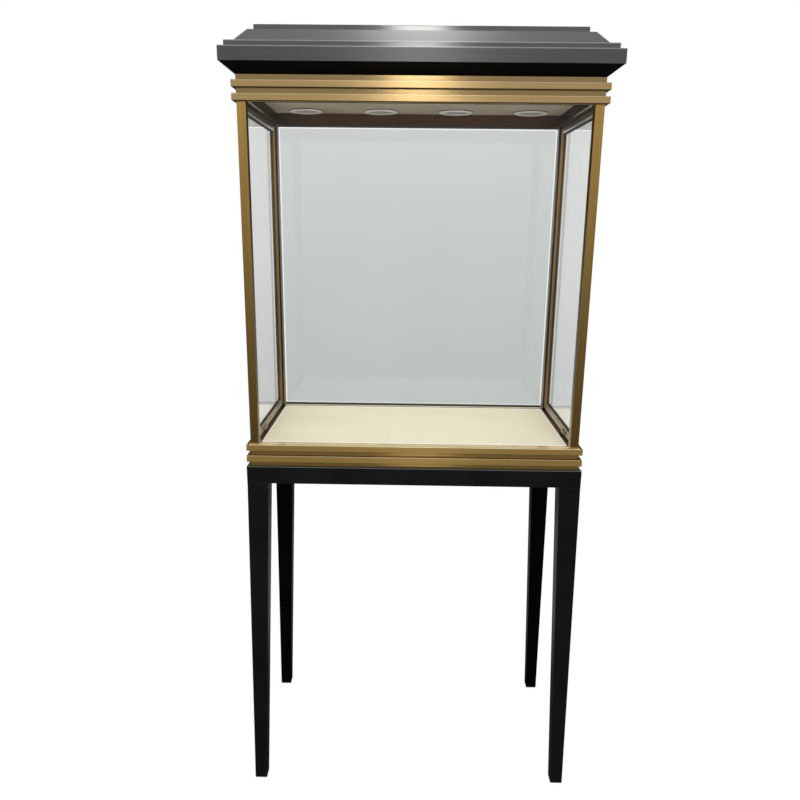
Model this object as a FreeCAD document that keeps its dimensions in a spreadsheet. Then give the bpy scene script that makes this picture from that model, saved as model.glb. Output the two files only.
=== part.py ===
import FreeCAD, Part
import os
import re

# Jewelry display cabinet: a glass case between four posts, closed by a glazed door on each side,
# under a stepped pagoda roof and on an apron frame with four tall splayed legs.
# Millimetres, +Z up, front towards -Y. The origin is on the floor, under the middle of the case.

doc = FreeCAD.newDocument("JewelryDisplayCabinet")
sheet = doc.addObject("Spreadsheet::Sheet", "Sizes")

SIZES = {
    # plan of the case, over the posts' outer faces
    "case_width": 764,
    "case_depth": 424,
    "post_size": 20,
    "post_edge": 1.2,
    # heights, from the floor up
    "leg_height": 813,
    "apron_height": 42,
    "base_plinth": 10,
    "base_low_band": 16,
    "base_channel": 11,
    "base_high_band": 15,
    "opening_height": 741,
    "frieze_low_band": 14,
    "frieze_channel": 12,
    "frieze_high_band": 14,
    "frieze_neck": 11,
    "soffit_rise": 21,
    "fascia_height": 28,
    "riser_height": 12,
    "slope_rise": 28,
    "cap_height": 12,
    "header_height": 27,
    # how far each stage stands out of the posts' faces, or in from them
    "foot_out": 19.5,
    "apron_out": 9.5,
    "band_out": 8.5,
    "fascia_out": 29,
    "riser_out": 18,
    "hip_out": 3.5,
    "crest_in": 23.5,
    "cap_in": 34.5,
    # legs and apron
    "leg_size": 50,
    "foot_size": 31,
    "leg_wall": 2.5,
    "leg_plate": 6,
    "leg_edge": 1.5,
    "glide_height": 3,
    "glide_inset": 1,
    "glide_plug": 10,
    "glide_fit": 0.4,
    "apron_depth": 26,
    "apron_wall": 3,
    "apron_edge": 1.2,
    "leg_bolt_radius": 4,
    "leg_bolt_head": 6.5,
    "leg_bolt_head_height": 5,
    "leg_bolt_edge": 14,
    "leg_bolt_along": 36,
    # gold bars under and over the glass
    "bar_depth": 20,
    "bar_wall": 3,
    "band_edge": 1,
    "sill_thickness": 12,
    "floor_ledge": 45,
    "post_bolt_radius": 3,
    "post_bolt_head": 5,
    "post_bolt_head_height": 6,
    "post_bolt_grip": 16,
    "post_bolt_side": 8.5,
    "post_bolt_end": 14,
    "counterbore_fit": 0.5,
    # fixed glass, its grooves and its gaskets
    "glass_thickness": 6,
    "glass_lip": 3,
    "glass_fit": 0.3,
    "groove_width": 8,
    "groove_depth": 10,
    "post_groove": 6,
    "glass_edge_gap": 1.2,
    "gasket_base": 2,
    "rear_gasket_lip": 5,
    # floor and ceiling
    "floor_thickness": 24,
    "floor_drop": 1,
    "floor_gap": 0.5,
    "floor_edge": 2.5,
    "batten_width": 40,
    "batten_pitch": 250,
    "ceiling_thickness": 3,
    "ceiling_lap": 10,
    # lighting
    "downlight_end": 101.5,
    "downlight_back": 72,
    "trim_radius": 44,
    "trim_drop": 4,
    "trim_bevel": 4,
    "lens_radius": 30,
    "lens_recess": 1.5,
    "lens_thickness": 2,
    "ceiling_hole_gap": 1,
    "housing_height": 46,
    "fin_radius": 36,
    "fin_thickness": 2,
    "fin_pitch": 8,
    "fin_start": 18,
    "terminal_length": 10,
    "terminal_width": 16,
    "terminal_height": 12,
    "cable_radius": 2.5,
    "driver_length": 44,
    "driver_width": 36,
    "driver_height": 24,
    "inlet_drop": 7,
    "inlet_flange_radius": 4,
    "inlet_flange": 1.5,
    "inlet_radius": 3,
    "inlet_length": 14,
    "socket_radius": 2.2,
    "socket_depth": 9,
    "socket_pin_radius": 0.8,
    # roof
    "roof_wall": 2.5,
    "roof_edge": 1.5,
    "crest_flange": 24,
    "cap_boss_radius": 5,
    "cap_boss_in": 12,
    "cap_screw_radius": 2,
    "cap_screw_head": 4,
    "cap_screw_head_height": 2.2,
    # doors
    "door_gap": 5,
    "door_thickness": 14,
    "stile_width": 26,
    "top_rail_width": 14,
    "bottom_rail_width": 18,
    "door_glass": 5,
    "door_groove_width": 7,
    "door_groove_depth": 5,
    "door_glass_bite": 3.5,
    "door_gasket_lip": 4,
    "door_edge": 0.8,
    "pivot_inset": 6.5,
    "pivot_back": 9,
    "pin_radius": 2.5,
    "pin_seat": 8,
    "pin_reach": 9,
    "collar_radius": 4.5,
    "bush_radius": 4.5,
    "bush_length": 10,
    "running_clearance": 0.05,
    "axial_gap": 0.3,
    # cam locks
    "lock_back": 102,
    "lock_rise": 6.5,
    "barrel_radius": 5,
    "lock_flange_radius": 6.5,
    "lock_flange": 1.5,
    "lock_nut_radius": 6.5,
    "lock_nut": 1.5,
    "plug_radius": 3.5,
    "keyway_width": 1.2,
    "keyway_height": 4.5,
    "keyway_depth": 3,
    "cam_width": 8,
    "cam_thickness": 2,
    "cam_reach": 30,
    "cam_tail": 12,
    "cam_screw_radius": 3,
    "cam_screw_head": 1.2,
    "notch_clearance": 1.5,
    # how far a cutting shape runs past the face that it cuts
    "overrun": 5,
}
DOWNLIGHTS = 4
FINS = 4
BATTENS = 3

for row, (alias, value) in enumerate(SIZES.items(), start=1):
    sheet.set(f"A{row}", alias.replace("_", " "))
    sheet.set(f"B{row}", str(value))
    sheet.setAlias(f"B{row}", alias)
doc.recompute()

# Levels and half widths, as sums of the sizes
HALF_W = "case_width / 2"
HALF_D = "case_depth / 2"
BASE = "(leg_height + apron_height)"
SILL = f"({BASE} + base_plinth + base_low_band + base_channel + base_high_band)"
HEAD = f"({SILL} + opening_height)"
CEILING = f"({HEAD} + header_height)"
CORNICE = f"({HEAD} + frieze_low_band + frieze_channel + frieze_high_band + frieze_neck)"
RIM = f"({CORNICE} + soffit_rise)"
SHELF = f"({RIM} + fascia_height)"
HIP = f"({SHELF} + riser_height)"
CREST = f"({HIP} + slope_rise)"
TOP = f"({CREST} + cap_height)"

# Each side of the case, a quarter turn on from the last: half its length and its distance from the middle
SIDES = {
    "front": (HALF_W, HALF_D),
    "right": (HALF_D, HALF_W),
    "rear": (HALF_W, HALF_D),
    "left": (HALF_D, HALF_W),
}
# Each corner: the signs of its X and Y
CORNERS = {
    "front_left": (-1, -1),
    "front_right": (1, -1),
    "rear_left": (-1, 1),
    "rear_right": (1, 1),
}
# Each door: the sign of its X
DOORS = {"left": -1, "right": 1}

# Two places nearer than this are the same place
SAME_PLACE = 1e-3

nodes = []


def cells(text):
    """Points every size named in a sum at its cell."""
    return re.sub(r"[a-z][a-z_]*", r"Sizes.\g<0>", text)


def bind(item, **sums):
    """Ties properties of an object to sums of sizes."""
    for name, text in sums.items():
        item.setExpression(name.replace("__", "."), cells(text))


def size(alias):
    """A size's value, for the few features that take plain numbers."""
    return float(sheet.get(alias))


def node(name, item):
    """Names a finished piece of the cabinet."""
    item.Label = name
    nodes.append(item)
    return item


def span(sign, near, far):
    """The low and high end of a stretch from near to far of the middle, on one side of it."""
    if sign > 0:
        return near, far
    return f"-({far})", f"-({near})"


def both_ways(reach):
    """The low and high end of a stretch centred on the middle."""
    return f"-({reach})", reach


def signed(sign, distance):
    """A distance from the middle, on one side of it."""
    return f"{sign} * ({distance})"


def box(name, x, y, z):
    """A block between the two ends given on each axis."""
    item = doc.addObject("Part::Box", name)
    bind(
        item,
        Length=f"({x[1]}) - ({x[0]})",
        Width=f"({y[1]}) - ({y[0]})",
        Height=f"({z[1]}) - ({z[0]})",
        Placement__Base__x=x[0],
        Placement__Base__y=y[0],
        Placement__Base__z=z[0],
    )
    return item


def lay(item, axis, start):
    """Lays a round piece along an axis from its starting point."""
    turns = {
        "x": FreeCAD.Rotation(FreeCAD.Vector(0, 1, 0), 90),
        "y": FreeCAD.Rotation(FreeCAD.Vector(1, 0, 0), -90),
        "z": FreeCAD.Rotation(),
    }
    item.Placement = FreeCAD.Placement(FreeCAD.Vector(), turns[axis])
    bind(item, Placement__Base__x=start[0], Placement__Base__y=start[1], Placement__Base__z=start[2])
    return item


def rod(name, axis, start, end, radius):
    """A cylinder along an axis: start is a point, and end the far coordinate on that axis."""
    item = doc.addObject("Part::Cylinder", name)
    bind(item, Radius=radius, Height=f"({end}) - ({start['xyz'.index(axis)]})")
    return lay(item, axis, start)


def cone(name, start, end, low_radius, high_radius):
    """A cone frustum standing on its starting point."""
    item = doc.addObject("Part::Cone", name)
    bind(item, Radius1=low_radius, Radius2=high_radius, Height=f"({end}) - ({start[2]})")
    return lay(item, "z", start)


def mitred(name, side, outer, inner, low, high):
    """A bar along one side with mitred ends, whose outer and inner faces count out of the posts' faces."""
    along, across = SIDES[side]
    turn = 90 * list(SIDES).index(side)
    item = doc.addObject("Part::Wedge", name)
    bind(
        item,
        Xmin=f"-({along} + ({outer}))",
        Xmax=f"{along} + ({outer})",
        X2min=f"-({along} + ({inner}))",
        X2max=f"{along} + ({inner})",
        Ymin=f"-({across} + ({outer}))",
        Ymax=f"-({across} + ({inner}))",
        Zmin=low,
        Zmax=high,
        Z2min=low,
        Z2max=high,
    )
    item.Placement = FreeCAD.Placement(FreeCAD.Vector(), FreeCAD.Rotation(FreeCAD.Vector(0, 0, 1), turn))
    return item


def upright(name, low, high, low_x, low_y, high_x, high_y):
    """A straight-sided block whose plan changes from its foot to its head."""
    item = doc.addObject("Part::Wedge", name)
    bind(
        item,
        Xmin=low_x[0],
        Xmax=low_x[1],
        X2min=high_x[0],
        X2max=high_x[1],
        Ymin=low,
        Ymax=high,
        Zmin=f"-({low_y[1]})",
        Zmax=f"-({low_y[0]})",
        Z2min=f"-({high_y[1]})",
        Z2max=f"-({high_y[0]})",
    )
    item.Placement = FreeCAD.Placement(FreeCAD.Vector(), FreeCAD.Rotation(FreeCAD.Vector(1, 0, 0), 90))
    return item


def stage(name, low_out, high_out, low, high):
    """One stage of the roof over the whole plan, standing out of the posts' faces by low_out to high_out."""
    return upright(
        name,
        low,
        high,
        both_ways(f"{HALF_W} + ({low_out})"),
        both_ways(f"{HALF_D} + ({low_out})"),
        both_ways(f"{HALF_W} + ({high_out})"),
        both_ways(f"{HALF_D} + ({high_out})"),
    )


def fuse(name, items):
    """Joins solids into one."""
    item = doc.addObject("Part::MultiFuse", name)
    item.Shapes = items
    item.Refine = True
    return item


def cut(name, base, tools):
    """Takes every tool's shape out of a solid."""
    item = doc.addObject("Part::Cut", name)
    item.Base = base
    item.Tool = tools[0] if len(tools) == 1 else fuse(name + "_tools", tools)
    item.Refine = True
    return item


def group(name, items):
    """Gathers solids that stay separate."""
    item = doc.addObject("Part::Compound", name)
    item.Links = items
    return item


def rounded(name, base, radius, chosen):
    """Rounds the edges of a solid that chosen picks."""
    doc.recompute([base])
    item = doc.addObject("Part::Fillet", name)
    item.Base = base
    edges = enumerate(base.Shape.Edges, start=1)
    item.Edges = [(index, size(radius), size(radius)) for index, edge in edges if chosen(edge, base.Shape)]
    return item


def rises(edge, shape):
    """Whether an edge climbs more than it runs."""
    extent = edge.BoundBox
    return extent.ZLength > max(extent.XLength, extent.YLength)


def is_longest(edge, shape):
    """Whether no edge of the solid is longer, as on the outer face of a mitred bar."""
    return edge.Length > max(other.Length for other in shape.Edges) - SAME_PLACE


def is_on_top(edge, shape):
    """Whether a whole edge lies at the solid's highest level."""
    return edge.BoundBox.ZMin > shape.BoundBox.ZMax - SAME_PLACE


def is_outline(edge, shape):
    """Whether an edge is a corner or lies round the top."""
    return rises(edge, shape) or is_on_top(edge, shape)


def leg_bolt_places(corner):
    """Where a leg's two bolts stand: one in each apron bar that meets over the leg."""
    end, flank = corner.split("_")
    sx, sy = CORNERS[corner]
    edge = "apron_out - leg_bolt_edge"
    along = "apron_out - leg_bolt_along"
    return {
        end: (signed(sx, f"{HALF_W} + {along}"), signed(sy, f"{HALF_D} + {edge}")),
        flank: (signed(sx, f"{HALF_W} + {edge}"), signed(sy, f"{HALF_D} + {along}")),
    }


# Apron frame: four mitred steel channels, open towards the inside
for side in SIDES:
    bar = mitred(f"{side}_apron_bar", side, "apron_out", "apron_out - apron_depth", "leg_height", BASE)
    bar = rounded(f"{side}_apron_rounded", bar, "apron_edge", is_longest)
    tools = [
        mitred(
            f"{side}_apron_hollow",
            side,
            "apron_out - apron_wall",
            "apron_out - apron_depth - overrun",
            "leg_height + apron_wall",
            f"{BASE} - apron_wall",
        )
    ]
    for corner in CORNERS:
        place = leg_bolt_places(corner).get(side)
        if place:
            start = (*place, "leg_height - overrun")
            end = "leg_height + apron_wall + overrun"
            tools.append(rod(f"{side}_apron_hole", "z", start, end, "leg_bolt_radius"))
    node(f"apron_{side}", cut(f"{side}_apron_channel", bar, tools))

# Legs: tapered steel tubes with a plate at the head, leaning out to a blunt foot
for corner, (sx, sy) in CORNERS.items():
    foot_x = span(sx, f"{HALF_W} + foot_out - foot_size", f"{HALF_W} + foot_out")
    foot_y = span(sy, f"{HALF_D} + foot_out - foot_size", f"{HALF_D} + foot_out")
    head_x = span(sx, f"{HALF_W} + apron_out - leg_size", f"{HALF_W} + apron_out")
    head_y = span(sy, f"{HALF_D} + apron_out - leg_size", f"{HALF_D} + apron_out")
    outside = upright(f"{corner}_leg_outside", "glide_height", "leg_height", foot_x, foot_y, head_x, head_y)
    outside = rounded(f"{corner}_leg_rounded", outside, "leg_edge", rises)
    plans = (foot_x, foot_y, head_x, head_y)
    inner_plans = [(f"{low} + leg_wall", f"{high} - leg_wall") for low, high in plans]
    inner_ends = ("glide_height - overrun", "leg_height - leg_plate")
    inside = upright(f"{corner}_leg_inside", *inner_ends, *inner_plans)
    tools = [inside]
    for place in leg_bolt_places(corner).values():
        start = (*place, "leg_height - leg_plate - overrun")
        tools.append(rod(f"{corner}_leg_hole", "z", start, "leg_height + overrun", "leg_bolt_radius"))
    node(f"leg_{corner}", cut(f"{corner}_leg_tube", outside, tools))

# Leg bolts: heads inside the apron channels, shanks in the legs' head plates
bolts = []
for corner in CORNERS:
    for x, y in leg_bolt_places(corner).values():
        seat = "leg_height + apron_wall"
        shank = rod("leg_bolt_shank", "z", (x, y, "leg_height - leg_plate"), seat, "leg_bolt_radius")
        head = rod("leg_bolt_cap", "z", (x, y, seat), f"{seat} + leg_bolt_head_height", "leg_bolt_head")
        bolts.append(fuse("leg_bolt", [shank, head]))
node("leg_bolts", group("leg_bolt_set", bolts))

# Glides: plastic feet with a plug that closes each leg's open end
glides = []
for corner, (sx, sy) in CORNERS.items():
    plans = []
    for inset in ("glide_inset", "leg_wall + glide_fit"):
        foot_x = span(sx, f"{HALF_W} + foot_out - foot_size + {inset}", f"{HALF_W} + foot_out - ({inset})")
        foot_y = span(sy, f"{HALF_D} + foot_out - foot_size + {inset}", f"{HALF_D} + foot_out - ({inset})")
        plans.append((foot_x, foot_y))
    sole = box("glide_sole", *plans[0], ("0", "glide_height"))
    plug = box("glide_stem", *plans[1], ("0", "glide_height + glide_plug"))
    glides.append(fuse("glide", [sole, plug]))
node("leg_glides", group("glide_set", glides))


def glass_ends(sign, fit):
    """Where the faces of a fixed pane lie, with room for a fit on each face."""
    middle = f"{HALF_D} - glass_lip - groove_width / 2"
    return span(sign, f"{middle} - glass_thickness / 2 - {fit}", f"{middle} + glass_thickness / 2 + {fit}")


def groove_ends(sign):
    """Where the walls of a fixed pane's groove lie."""
    return span(sign, f"{HALF_D} - glass_lip - groove_width", f"{HALF_D} - glass_lip")


def pivot_place(sign):
    """A door's upright axis, at the rear end of its side."""
    return signed(sign, f"{HALF_W} - pivot_inset"), f"{HALF_D} - post_size - door_gap - pivot_back"


def post_bolt_place(sx, sy):
    """A post's bolt, clear of the glass groove and of the mitre."""
    return signed(sx, f"{HALF_W} - post_bolt_side"), signed(sy, f"{HALF_D} - post_bolt_end")


def band(name, side, low, high):
    """One of the flat bands that stand proud of a gold bar."""
    strip = mitred(f"{name}_strip", side, "band_out", "-bar_wall", low, high)
    return rounded(f"{name}_rounded", strip, "band_edge", is_longest)


ENDS = {"front": -1, "rear": 1}
BETWEEN_POSTS = both_ways(f"{HALF_W} - post_size")
INTO_POSTS = both_ways(f"{HALF_W} - post_size + post_groove")
LOCK_Y = f"(lock_back - {HALF_D})"
LOCK_Z = f"({SILL} + door_gap + lock_rise)"
CAM_OUTER = f"({HALF_W} - door_thickness - lock_nut - axial_gap)"
CAM_INNER = f"({CAM_OUTER} - cam_thickness)"

# Base bars: mitred gold extrusions with two bands, a thick sill and a ledge for the floor
for side in SIDES:
    core = mitred(f"{side}_base_core", side, "0", "-bar_depth", BASE, SILL)
    low_ends = (f"{BASE} + base_plinth", f"{BASE} + base_plinth + base_low_band")
    low_band = band(f"{side}_base_low", side, *low_ends)
    high_band = band(f"{side}_base_high", side, f"{SILL} - base_high_band", SILL)
    ledge = mitred(f"{side}_base_ledge", side, "0", "-floor_ledge", BASE, f"{BASE} + bar_wall")
    profile = fuse(f"{side}_base_profile", [core, low_band, high_band, ledge])
    hollow_ends = (f"{BASE} + bar_wall", f"{SILL} - sill_thickness")
    tools = [mitred(f"{side}_base_hollow", side, "-bar_wall", "-bar_depth - overrun", *hollow_ends)]
    if side in ENDS:
        groove_z = (f"{SILL} - groove_depth", f"{SILL} + overrun")
        tools.append(box(f"{side}_base_groove", INTO_POSTS, groove_ends(ENDS[side]), groove_z))
    else:
        sign = DOORS[side]
        start = (*pivot_place(sign), f"{SILL} - pin_seat")
        tools.append(rod(f"{side}_base_pivot_hole", "z", start, f"{SILL} + overrun", "pin_radius"))
        notch_x = span(sign, f"{HALF_W} - bar_depth - overrun", f"{CAM_OUTER} + notch_clearance")
        notch_y = (f"{LOCK_Y} - cam_width / 2 - notch_clearance", f"{LOCK_Y} + cam_reach + notch_clearance")
        notch_z = (f"{SILL} - sill_thickness - overrun", f"{SILL} + overrun")
        tools.append(box(f"{side}_base_lock_notch", notch_x, notch_y, notch_z))
        for sy in ENDS.values():
            start = (*post_bolt_place(sign, sy), f"{SILL} - sill_thickness - overrun")
            tools.append(rod(f"{side}_base_bolt_hole", "z", start, f"{SILL} + overrun", "post_bolt_radius"))
    node(f"base_{side}", cut(f"{side}_base_bar", profile, tools))

# Floor: a board covered in cream leatherette, on battens that rest on the base bars' ledges
floor_x = both_ways(f"{HALF_W} - bar_depth - floor_gap")
floor_y = both_ways(f"{HALF_D} - bar_depth - floor_gap")
FLOOR = f"({SILL} - floor_drop)"
board = box("floor_board", floor_x, floor_y, (f"{FLOOR} - floor_thickness", FLOOR))
board = rounded("floor_board_rounded", board, "floor_edge", is_outline)
battens = []
for index in range(BATTENS):
    middle = f"{index - (BATTENS - 1) / 2} * batten_pitch"
    batten_x = (f"{middle} - batten_width / 2", f"{middle} + batten_width / 2")
    batten_z = (f"{BASE} + bar_wall", f"{FLOOR} - floor_thickness")
    battens.append(box("floor_batten", batten_x, floor_y, batten_z))
node("floor_panel", fuse("floor_on_battens", [board, *battens]))

# Posts: square gold bars, grooved for the fixed panes and tapped at both ends
for corner, (sx, sy) in CORNERS.items():
    post_x = span(sx, f"{HALF_W} - post_size", HALF_W)
    post_y = span(sy, f"{HALF_D} - post_size", HALF_D)
    post = box(f"{corner}_post_bar", post_x, post_y, (SILL, HEAD))
    post = rounded(f"{corner}_post_rounded", post, "post_edge", rises)
    groove_x = span(sx, f"{HALF_W} - post_size - overrun", f"{HALF_W} - post_size + post_groove")
    groove_z = (f"{SILL} - overrun", f"{HEAD} + overrun")
    place = post_bolt_place(sx, sy)
    low_hole = ((*place, f"{SILL} - overrun"), f"{SILL} + post_bolt_grip")
    high_hole = ((*place, f"{HEAD} - post_bolt_grip"), f"{HEAD} + overrun")
    tools = [
        box(f"{corner}_post_groove", groove_x, glass_ends(sy, "glass_fit"), groove_z),
        rod("post_low_hole", "z", *low_hole, "post_bolt_radius"),
        rod("post_high_hole", "z", *high_hole, "post_bolt_radius"),
    ]
    node(f"post_{corner}", cut(f"{corner}_post_grooved", post, tools))

# Post bolts: through the sill and the header into both ends of each post
bolts = []
for sx, sy in CORNERS.values():
    place = post_bolt_place(sx, sy)
    seat = f"{SILL} - sill_thickness"
    shank = rod("low_bolt_shank", "z", (*place, seat), f"{SILL} + post_bolt_grip", "post_bolt_radius")
    head = rod("low_bolt_cap", "z", (*place, f"{seat} - post_bolt_head_height"), seat, "post_bolt_head")
    bolts.append(fuse("low_bolt", [shank, head]))
    seat = f"{HEAD} + sill_thickness"
    shank = rod("high_bolt_shank", "z", (*place, f"{HEAD} - post_bolt_grip"), seat, "post_bolt_radius")
    head = rod("high_bolt_cap", "z", (*place, seat), f"{seat} + post_bolt_head_height", "post_bolt_head")
    bolts.append(fuse("high_bolt", [shank, head]))
node("post_bolts", group("post_bolt_set", bolts))

# Fixed panes at the front and rear, and the rubber channels along their lower and upper edges
pane_x = both_ways(f"{HALF_W} - post_size + post_groove - glass_edge_gap")
pane_z = (f"{SILL} - groove_depth + gasket_base", f"{HEAD} + groove_depth - gasket_base")
gasket_lips = {"front": "0", "rear": "rear_gasket_lip"}
gaskets = []
for side, sign in ENDS.items():
    pane = node(f"{side}_glass", box(f"{side}_pane", pane_x, glass_ends(sign, "0"), pane_z))
    lip = gasket_lips[side]
    strips = {
        "low": (f"{SILL} - groove_depth", f"{SILL} + {lip}"),
        "high": (f"{HEAD} - {lip}", f"{HEAD} + groove_depth"),
    }
    for level, strip_z in strips.items():
        strip = box(f"{side}_{level}_gasket_strip", BETWEEN_POSTS, groove_ends(sign), strip_z)
        gaskets.append(cut(f"{side}_{level}_gasket", strip, [pane]))
node("glass_gaskets", group("glass_gasket_set", gaskets))

INLET_Z = f"({CORNICE} - inlet_drop)"

# Frieze bars: mitred gold extrusions with a solid header that shows inside and two bands outside
for side in SIDES:
    core = mitred(f"{side}_frieze_core", side, "0", "-bar_depth", HEAD, CORNICE)
    low_band = band(f"{side}_frieze_low", side, HEAD, f"{HEAD} + frieze_low_band")
    high_ends = (f"{CORNICE} - frieze_neck - frieze_high_band", f"{CORNICE} - frieze_neck")
    high_band = band(f"{side}_frieze_high", side, *high_ends)
    profile = fuse(f"{side}_frieze_profile", [core, low_band, high_band])
    hollow_ends = (CEILING, f"{CORNICE} - bar_wall")
    tools = [mitred(f"{side}_frieze_hollow", side, "-bar_wall", "-bar_depth - overrun", *hollow_ends)]
    for corner, (sx, sy) in CORNERS.items():
        if side in corner.split("_"):
            # The counterbores reach across the mitres, so both bars of a corner have them
            place = post_bolt_place(sx, sy)
            seat = f"{HEAD} + sill_thickness"
            wide = "post_bolt_head + counterbore_fit"
            start = (*place, f"{HEAD} - overrun")
            tools.append(rod("frieze_bolt_hole", "z", start, seat, "post_bolt_radius"))
            tools.append(rod("frieze_counterbore", "z", (*place, seat), f"{CEILING} + overrun", wide))
    if side in ENDS:
        groove_z = (f"{HEAD} - overrun", f"{HEAD} + groove_depth")
        tools.append(box(f"{side}_frieze_groove", INTO_POSTS, groove_ends(ENDS[side]), groove_z))
    else:
        start = (*pivot_place(DOORS[side]), f"{HEAD} - overrun")
        tools.append(rod(f"{side}_frieze_pivot_hole", "z", start, f"{HEAD} + pin_seat", "pin_radius"))
    if side == "rear":
        start = ("0", f"{HALF_D} - bar_wall - overrun", INLET_Z)
        tools.append(rod("inlet_hole", "y", start, f"{HALF_D} + overrun", "inlet_radius"))
    node(f"frieze_{side}", cut(f"{side}_frieze_bar", profile, tools))

# Downlights: a bevelled trim under the ceiling, a frosted lens and a finned housing above
CEILING_TOP = f"({CEILING} + ceiling_thickness)"
LENS_LOW = f"({CEILING} - trim_drop + lens_recess)"
LENS_TOP = f"({LENS_LOW} + lens_thickness)"
DOWNLIGHT_Y = f"({HALF_D} - downlight_back)"
end_shares = [2 * index / (DOWNLIGHTS - 1) - 1 for index in range(DOWNLIGHTS)]
downlight_xs = [f"({share} * ({HALF_W} - downlight_end))" for share in end_shares]
terminal_reach = "lens_radius + terminal_length"
stations = [(f"{x} - ({terminal_reach})", f"{x} + {terminal_reach}") for x in downlight_xs]
ceiling_holes = []
trims = []
lenses = []
housings = []
for x, block_x in zip(downlight_xs, stations):
    at = (x, DOWNLIGHT_Y)
    hole_ends = ((*at, f"{CEILING} - overrun"), f"{CEILING_TOP} + overrun")
    ceiling_holes.append(rod("ceiling_hole", "z", *hole_ends, "lens_radius + ceiling_hole_gap"))
    foot = (*at, f"{CEILING} - trim_drop")
    bevel = cone("trim_bevel_cone", foot, CEILING, "trim_radius - trim_bevel", "trim_radius")
    mouth_ends = ((*at, f"{CEILING} - trim_drop - overrun"), f"{CEILING} + overrun")
    trims.append(cut("trim", bevel, [rod("trim_mouth", "z", *mouth_ends, "lens_radius")]))
    lenses.append(rod("lens", "z", (*at, LENS_LOW), LENS_TOP, "lens_radius"))
    parts = [rod("housing_core", "z", (*at, LENS_TOP), f"{CEILING} + housing_height", "lens_radius")]
    for index in range(FINS):
        low = f"{CEILING_TOP} + fin_start + {index} * fin_pitch"
        parts.append(rod("housing_fin", "z", (*at, low), f"{low} + fin_thickness", "fin_radius"))
    block_y = (f"{DOWNLIGHT_Y} - terminal_width / 2", f"{DOWNLIGHT_Y} + terminal_width / 2")
    block_z = (CEILING_TOP, f"{CEILING_TOP} + terminal_height")
    parts.append(box("housing_terminals", block_x, block_y, block_z))
    housings.append(fuse("housing", parts))
ceiling_x = both_ways(f"{HALF_W} - bar_depth + ceiling_lap")
ceiling_y = both_ways(f"{HALF_D} - bar_depth + ceiling_lap")
sheet_metal = box("ceiling_sheet", ceiling_x, ceiling_y, (CEILING, CEILING_TOP))
node("ceiling_panel", cut("ceiling_with_holes", sheet_metal, ceiling_holes))
node("downlight_trims", group("trim_set", trims))
node("downlight_lenses", group("lens_set", lenses))
node("downlight_housings", group("housing_set", housings))

# Lighting supply: a driver in line with the lamps, cables along the ceiling and a low-voltage inlet
driver_x = both_ways("driver_length / 2")
driver_y = (f"{DOWNLIGHT_Y} - driver_width / 2", f"{DOWNLIGHT_Y} + driver_width / 2")
node("led_driver", box("driver_box", driver_x, driver_y, (CEILING_TOP, f"{CEILING_TOP} + driver_height")))
stations.insert(DOWNLIGHTS // 2, driver_x)
cables = []
for (_, start_x), (end_x, _) in zip(stations, stations[1:]):
    start = (start_x, DOWNLIGHT_Y, f"{CEILING_TOP} + terminal_height / 2")
    cables.append(rod("lamp_cable", "x", start, end_x, "cable_radius"))
inlet_back = f"{HALF_D} - inlet_length"
cables.append(rod("feed_cable", "y", ("0", driver_y[1], INLET_Z), inlet_back, "cable_radius"))
node("lighting_cables", group("cable_set", cables))
inlet_body = rod("inlet_body", "y", ("0", inlet_back, INLET_Z), HALF_D, "inlet_radius")
inlet_face = f"{HALF_D} + inlet_flange"
inlet_rim = rod("inlet_rim", "y", ("0", HALF_D, INLET_Z), inlet_face, "inlet_flange_radius")
socket_start = ("0", f"{inlet_face} - socket_depth", INLET_Z)
socket = rod("inlet_socket", "y", socket_start, f"{inlet_face} + overrun", "socket_radius")
socket_pin = rod("inlet_pin", "y", socket_start, f"{inlet_face} - inlet_flange", "socket_pin_radius")
jack = cut("inlet_jack", fuse("inlet_shell", [inlet_body, inlet_rim]), [socket])
node("power_inlet", fuse("inlet_with_pin", [jack, socket_pin]))

# Cornice: folded steel in four mitred lengths, with a flared soffit, a fascia and a riser
fascia = stage("fascia", "fascia_out", "fascia_out", RIM, SHELF)
fascia = rounded("fascia_rounded", fascia, "roof_edge", is_on_top)
riser = stage("riser", "riser_out", "riser_out", SHELF, HIP)
riser = rounded("riser_rounded", riser, "roof_edge", is_on_top)
cornice_outside = fuse("cornice_outside", [stage("soffit", "0", "fascia_out", CORNICE, RIM), fascia, riser])
cornice_voids = [
    stage("cornice_well", "-bar_depth", "-bar_depth", f"{CORNICE} - overrun", f"{HIP} + overrun"),
    stage("soffit_void", "0", "fascia_out - roof_wall", f"{CORNICE} + roof_wall", RIM),
    stage("fascia_void", "fascia_out - roof_wall", "fascia_out - roof_wall", RIM, f"{SHELF} - roof_wall"),
    stage("riser_void", "riser_out - roof_wall", "riser_out - roof_wall", RIM, f"{HIP} - roof_wall"),
]
cornice = cut("cornice_ring", cornice_outside, cornice_voids)
for side in SIDES:
    ends = (f"{CORNICE} - overrun", f"{HIP} + overrun")
    sector = mitred(f"{side}_cornice_sector", side, "fascia_out + overrun", "-bar_depth - overrun", *ends)
    length = doc.addObject("Part::Common", f"{side}_cornice_length")
    length.Base = cornice
    length.Tool = sector
    node(f"cornice_{side}", length)


def cap_screw_place(sx, sy):
    """A roof cap's screw, inside one of its corners."""
    return signed(sx, f"{HALF_W} - cap_in - cap_boss_in"), signed(sy, f"{HALF_D} - cap_in - cap_boss_in")


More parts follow.
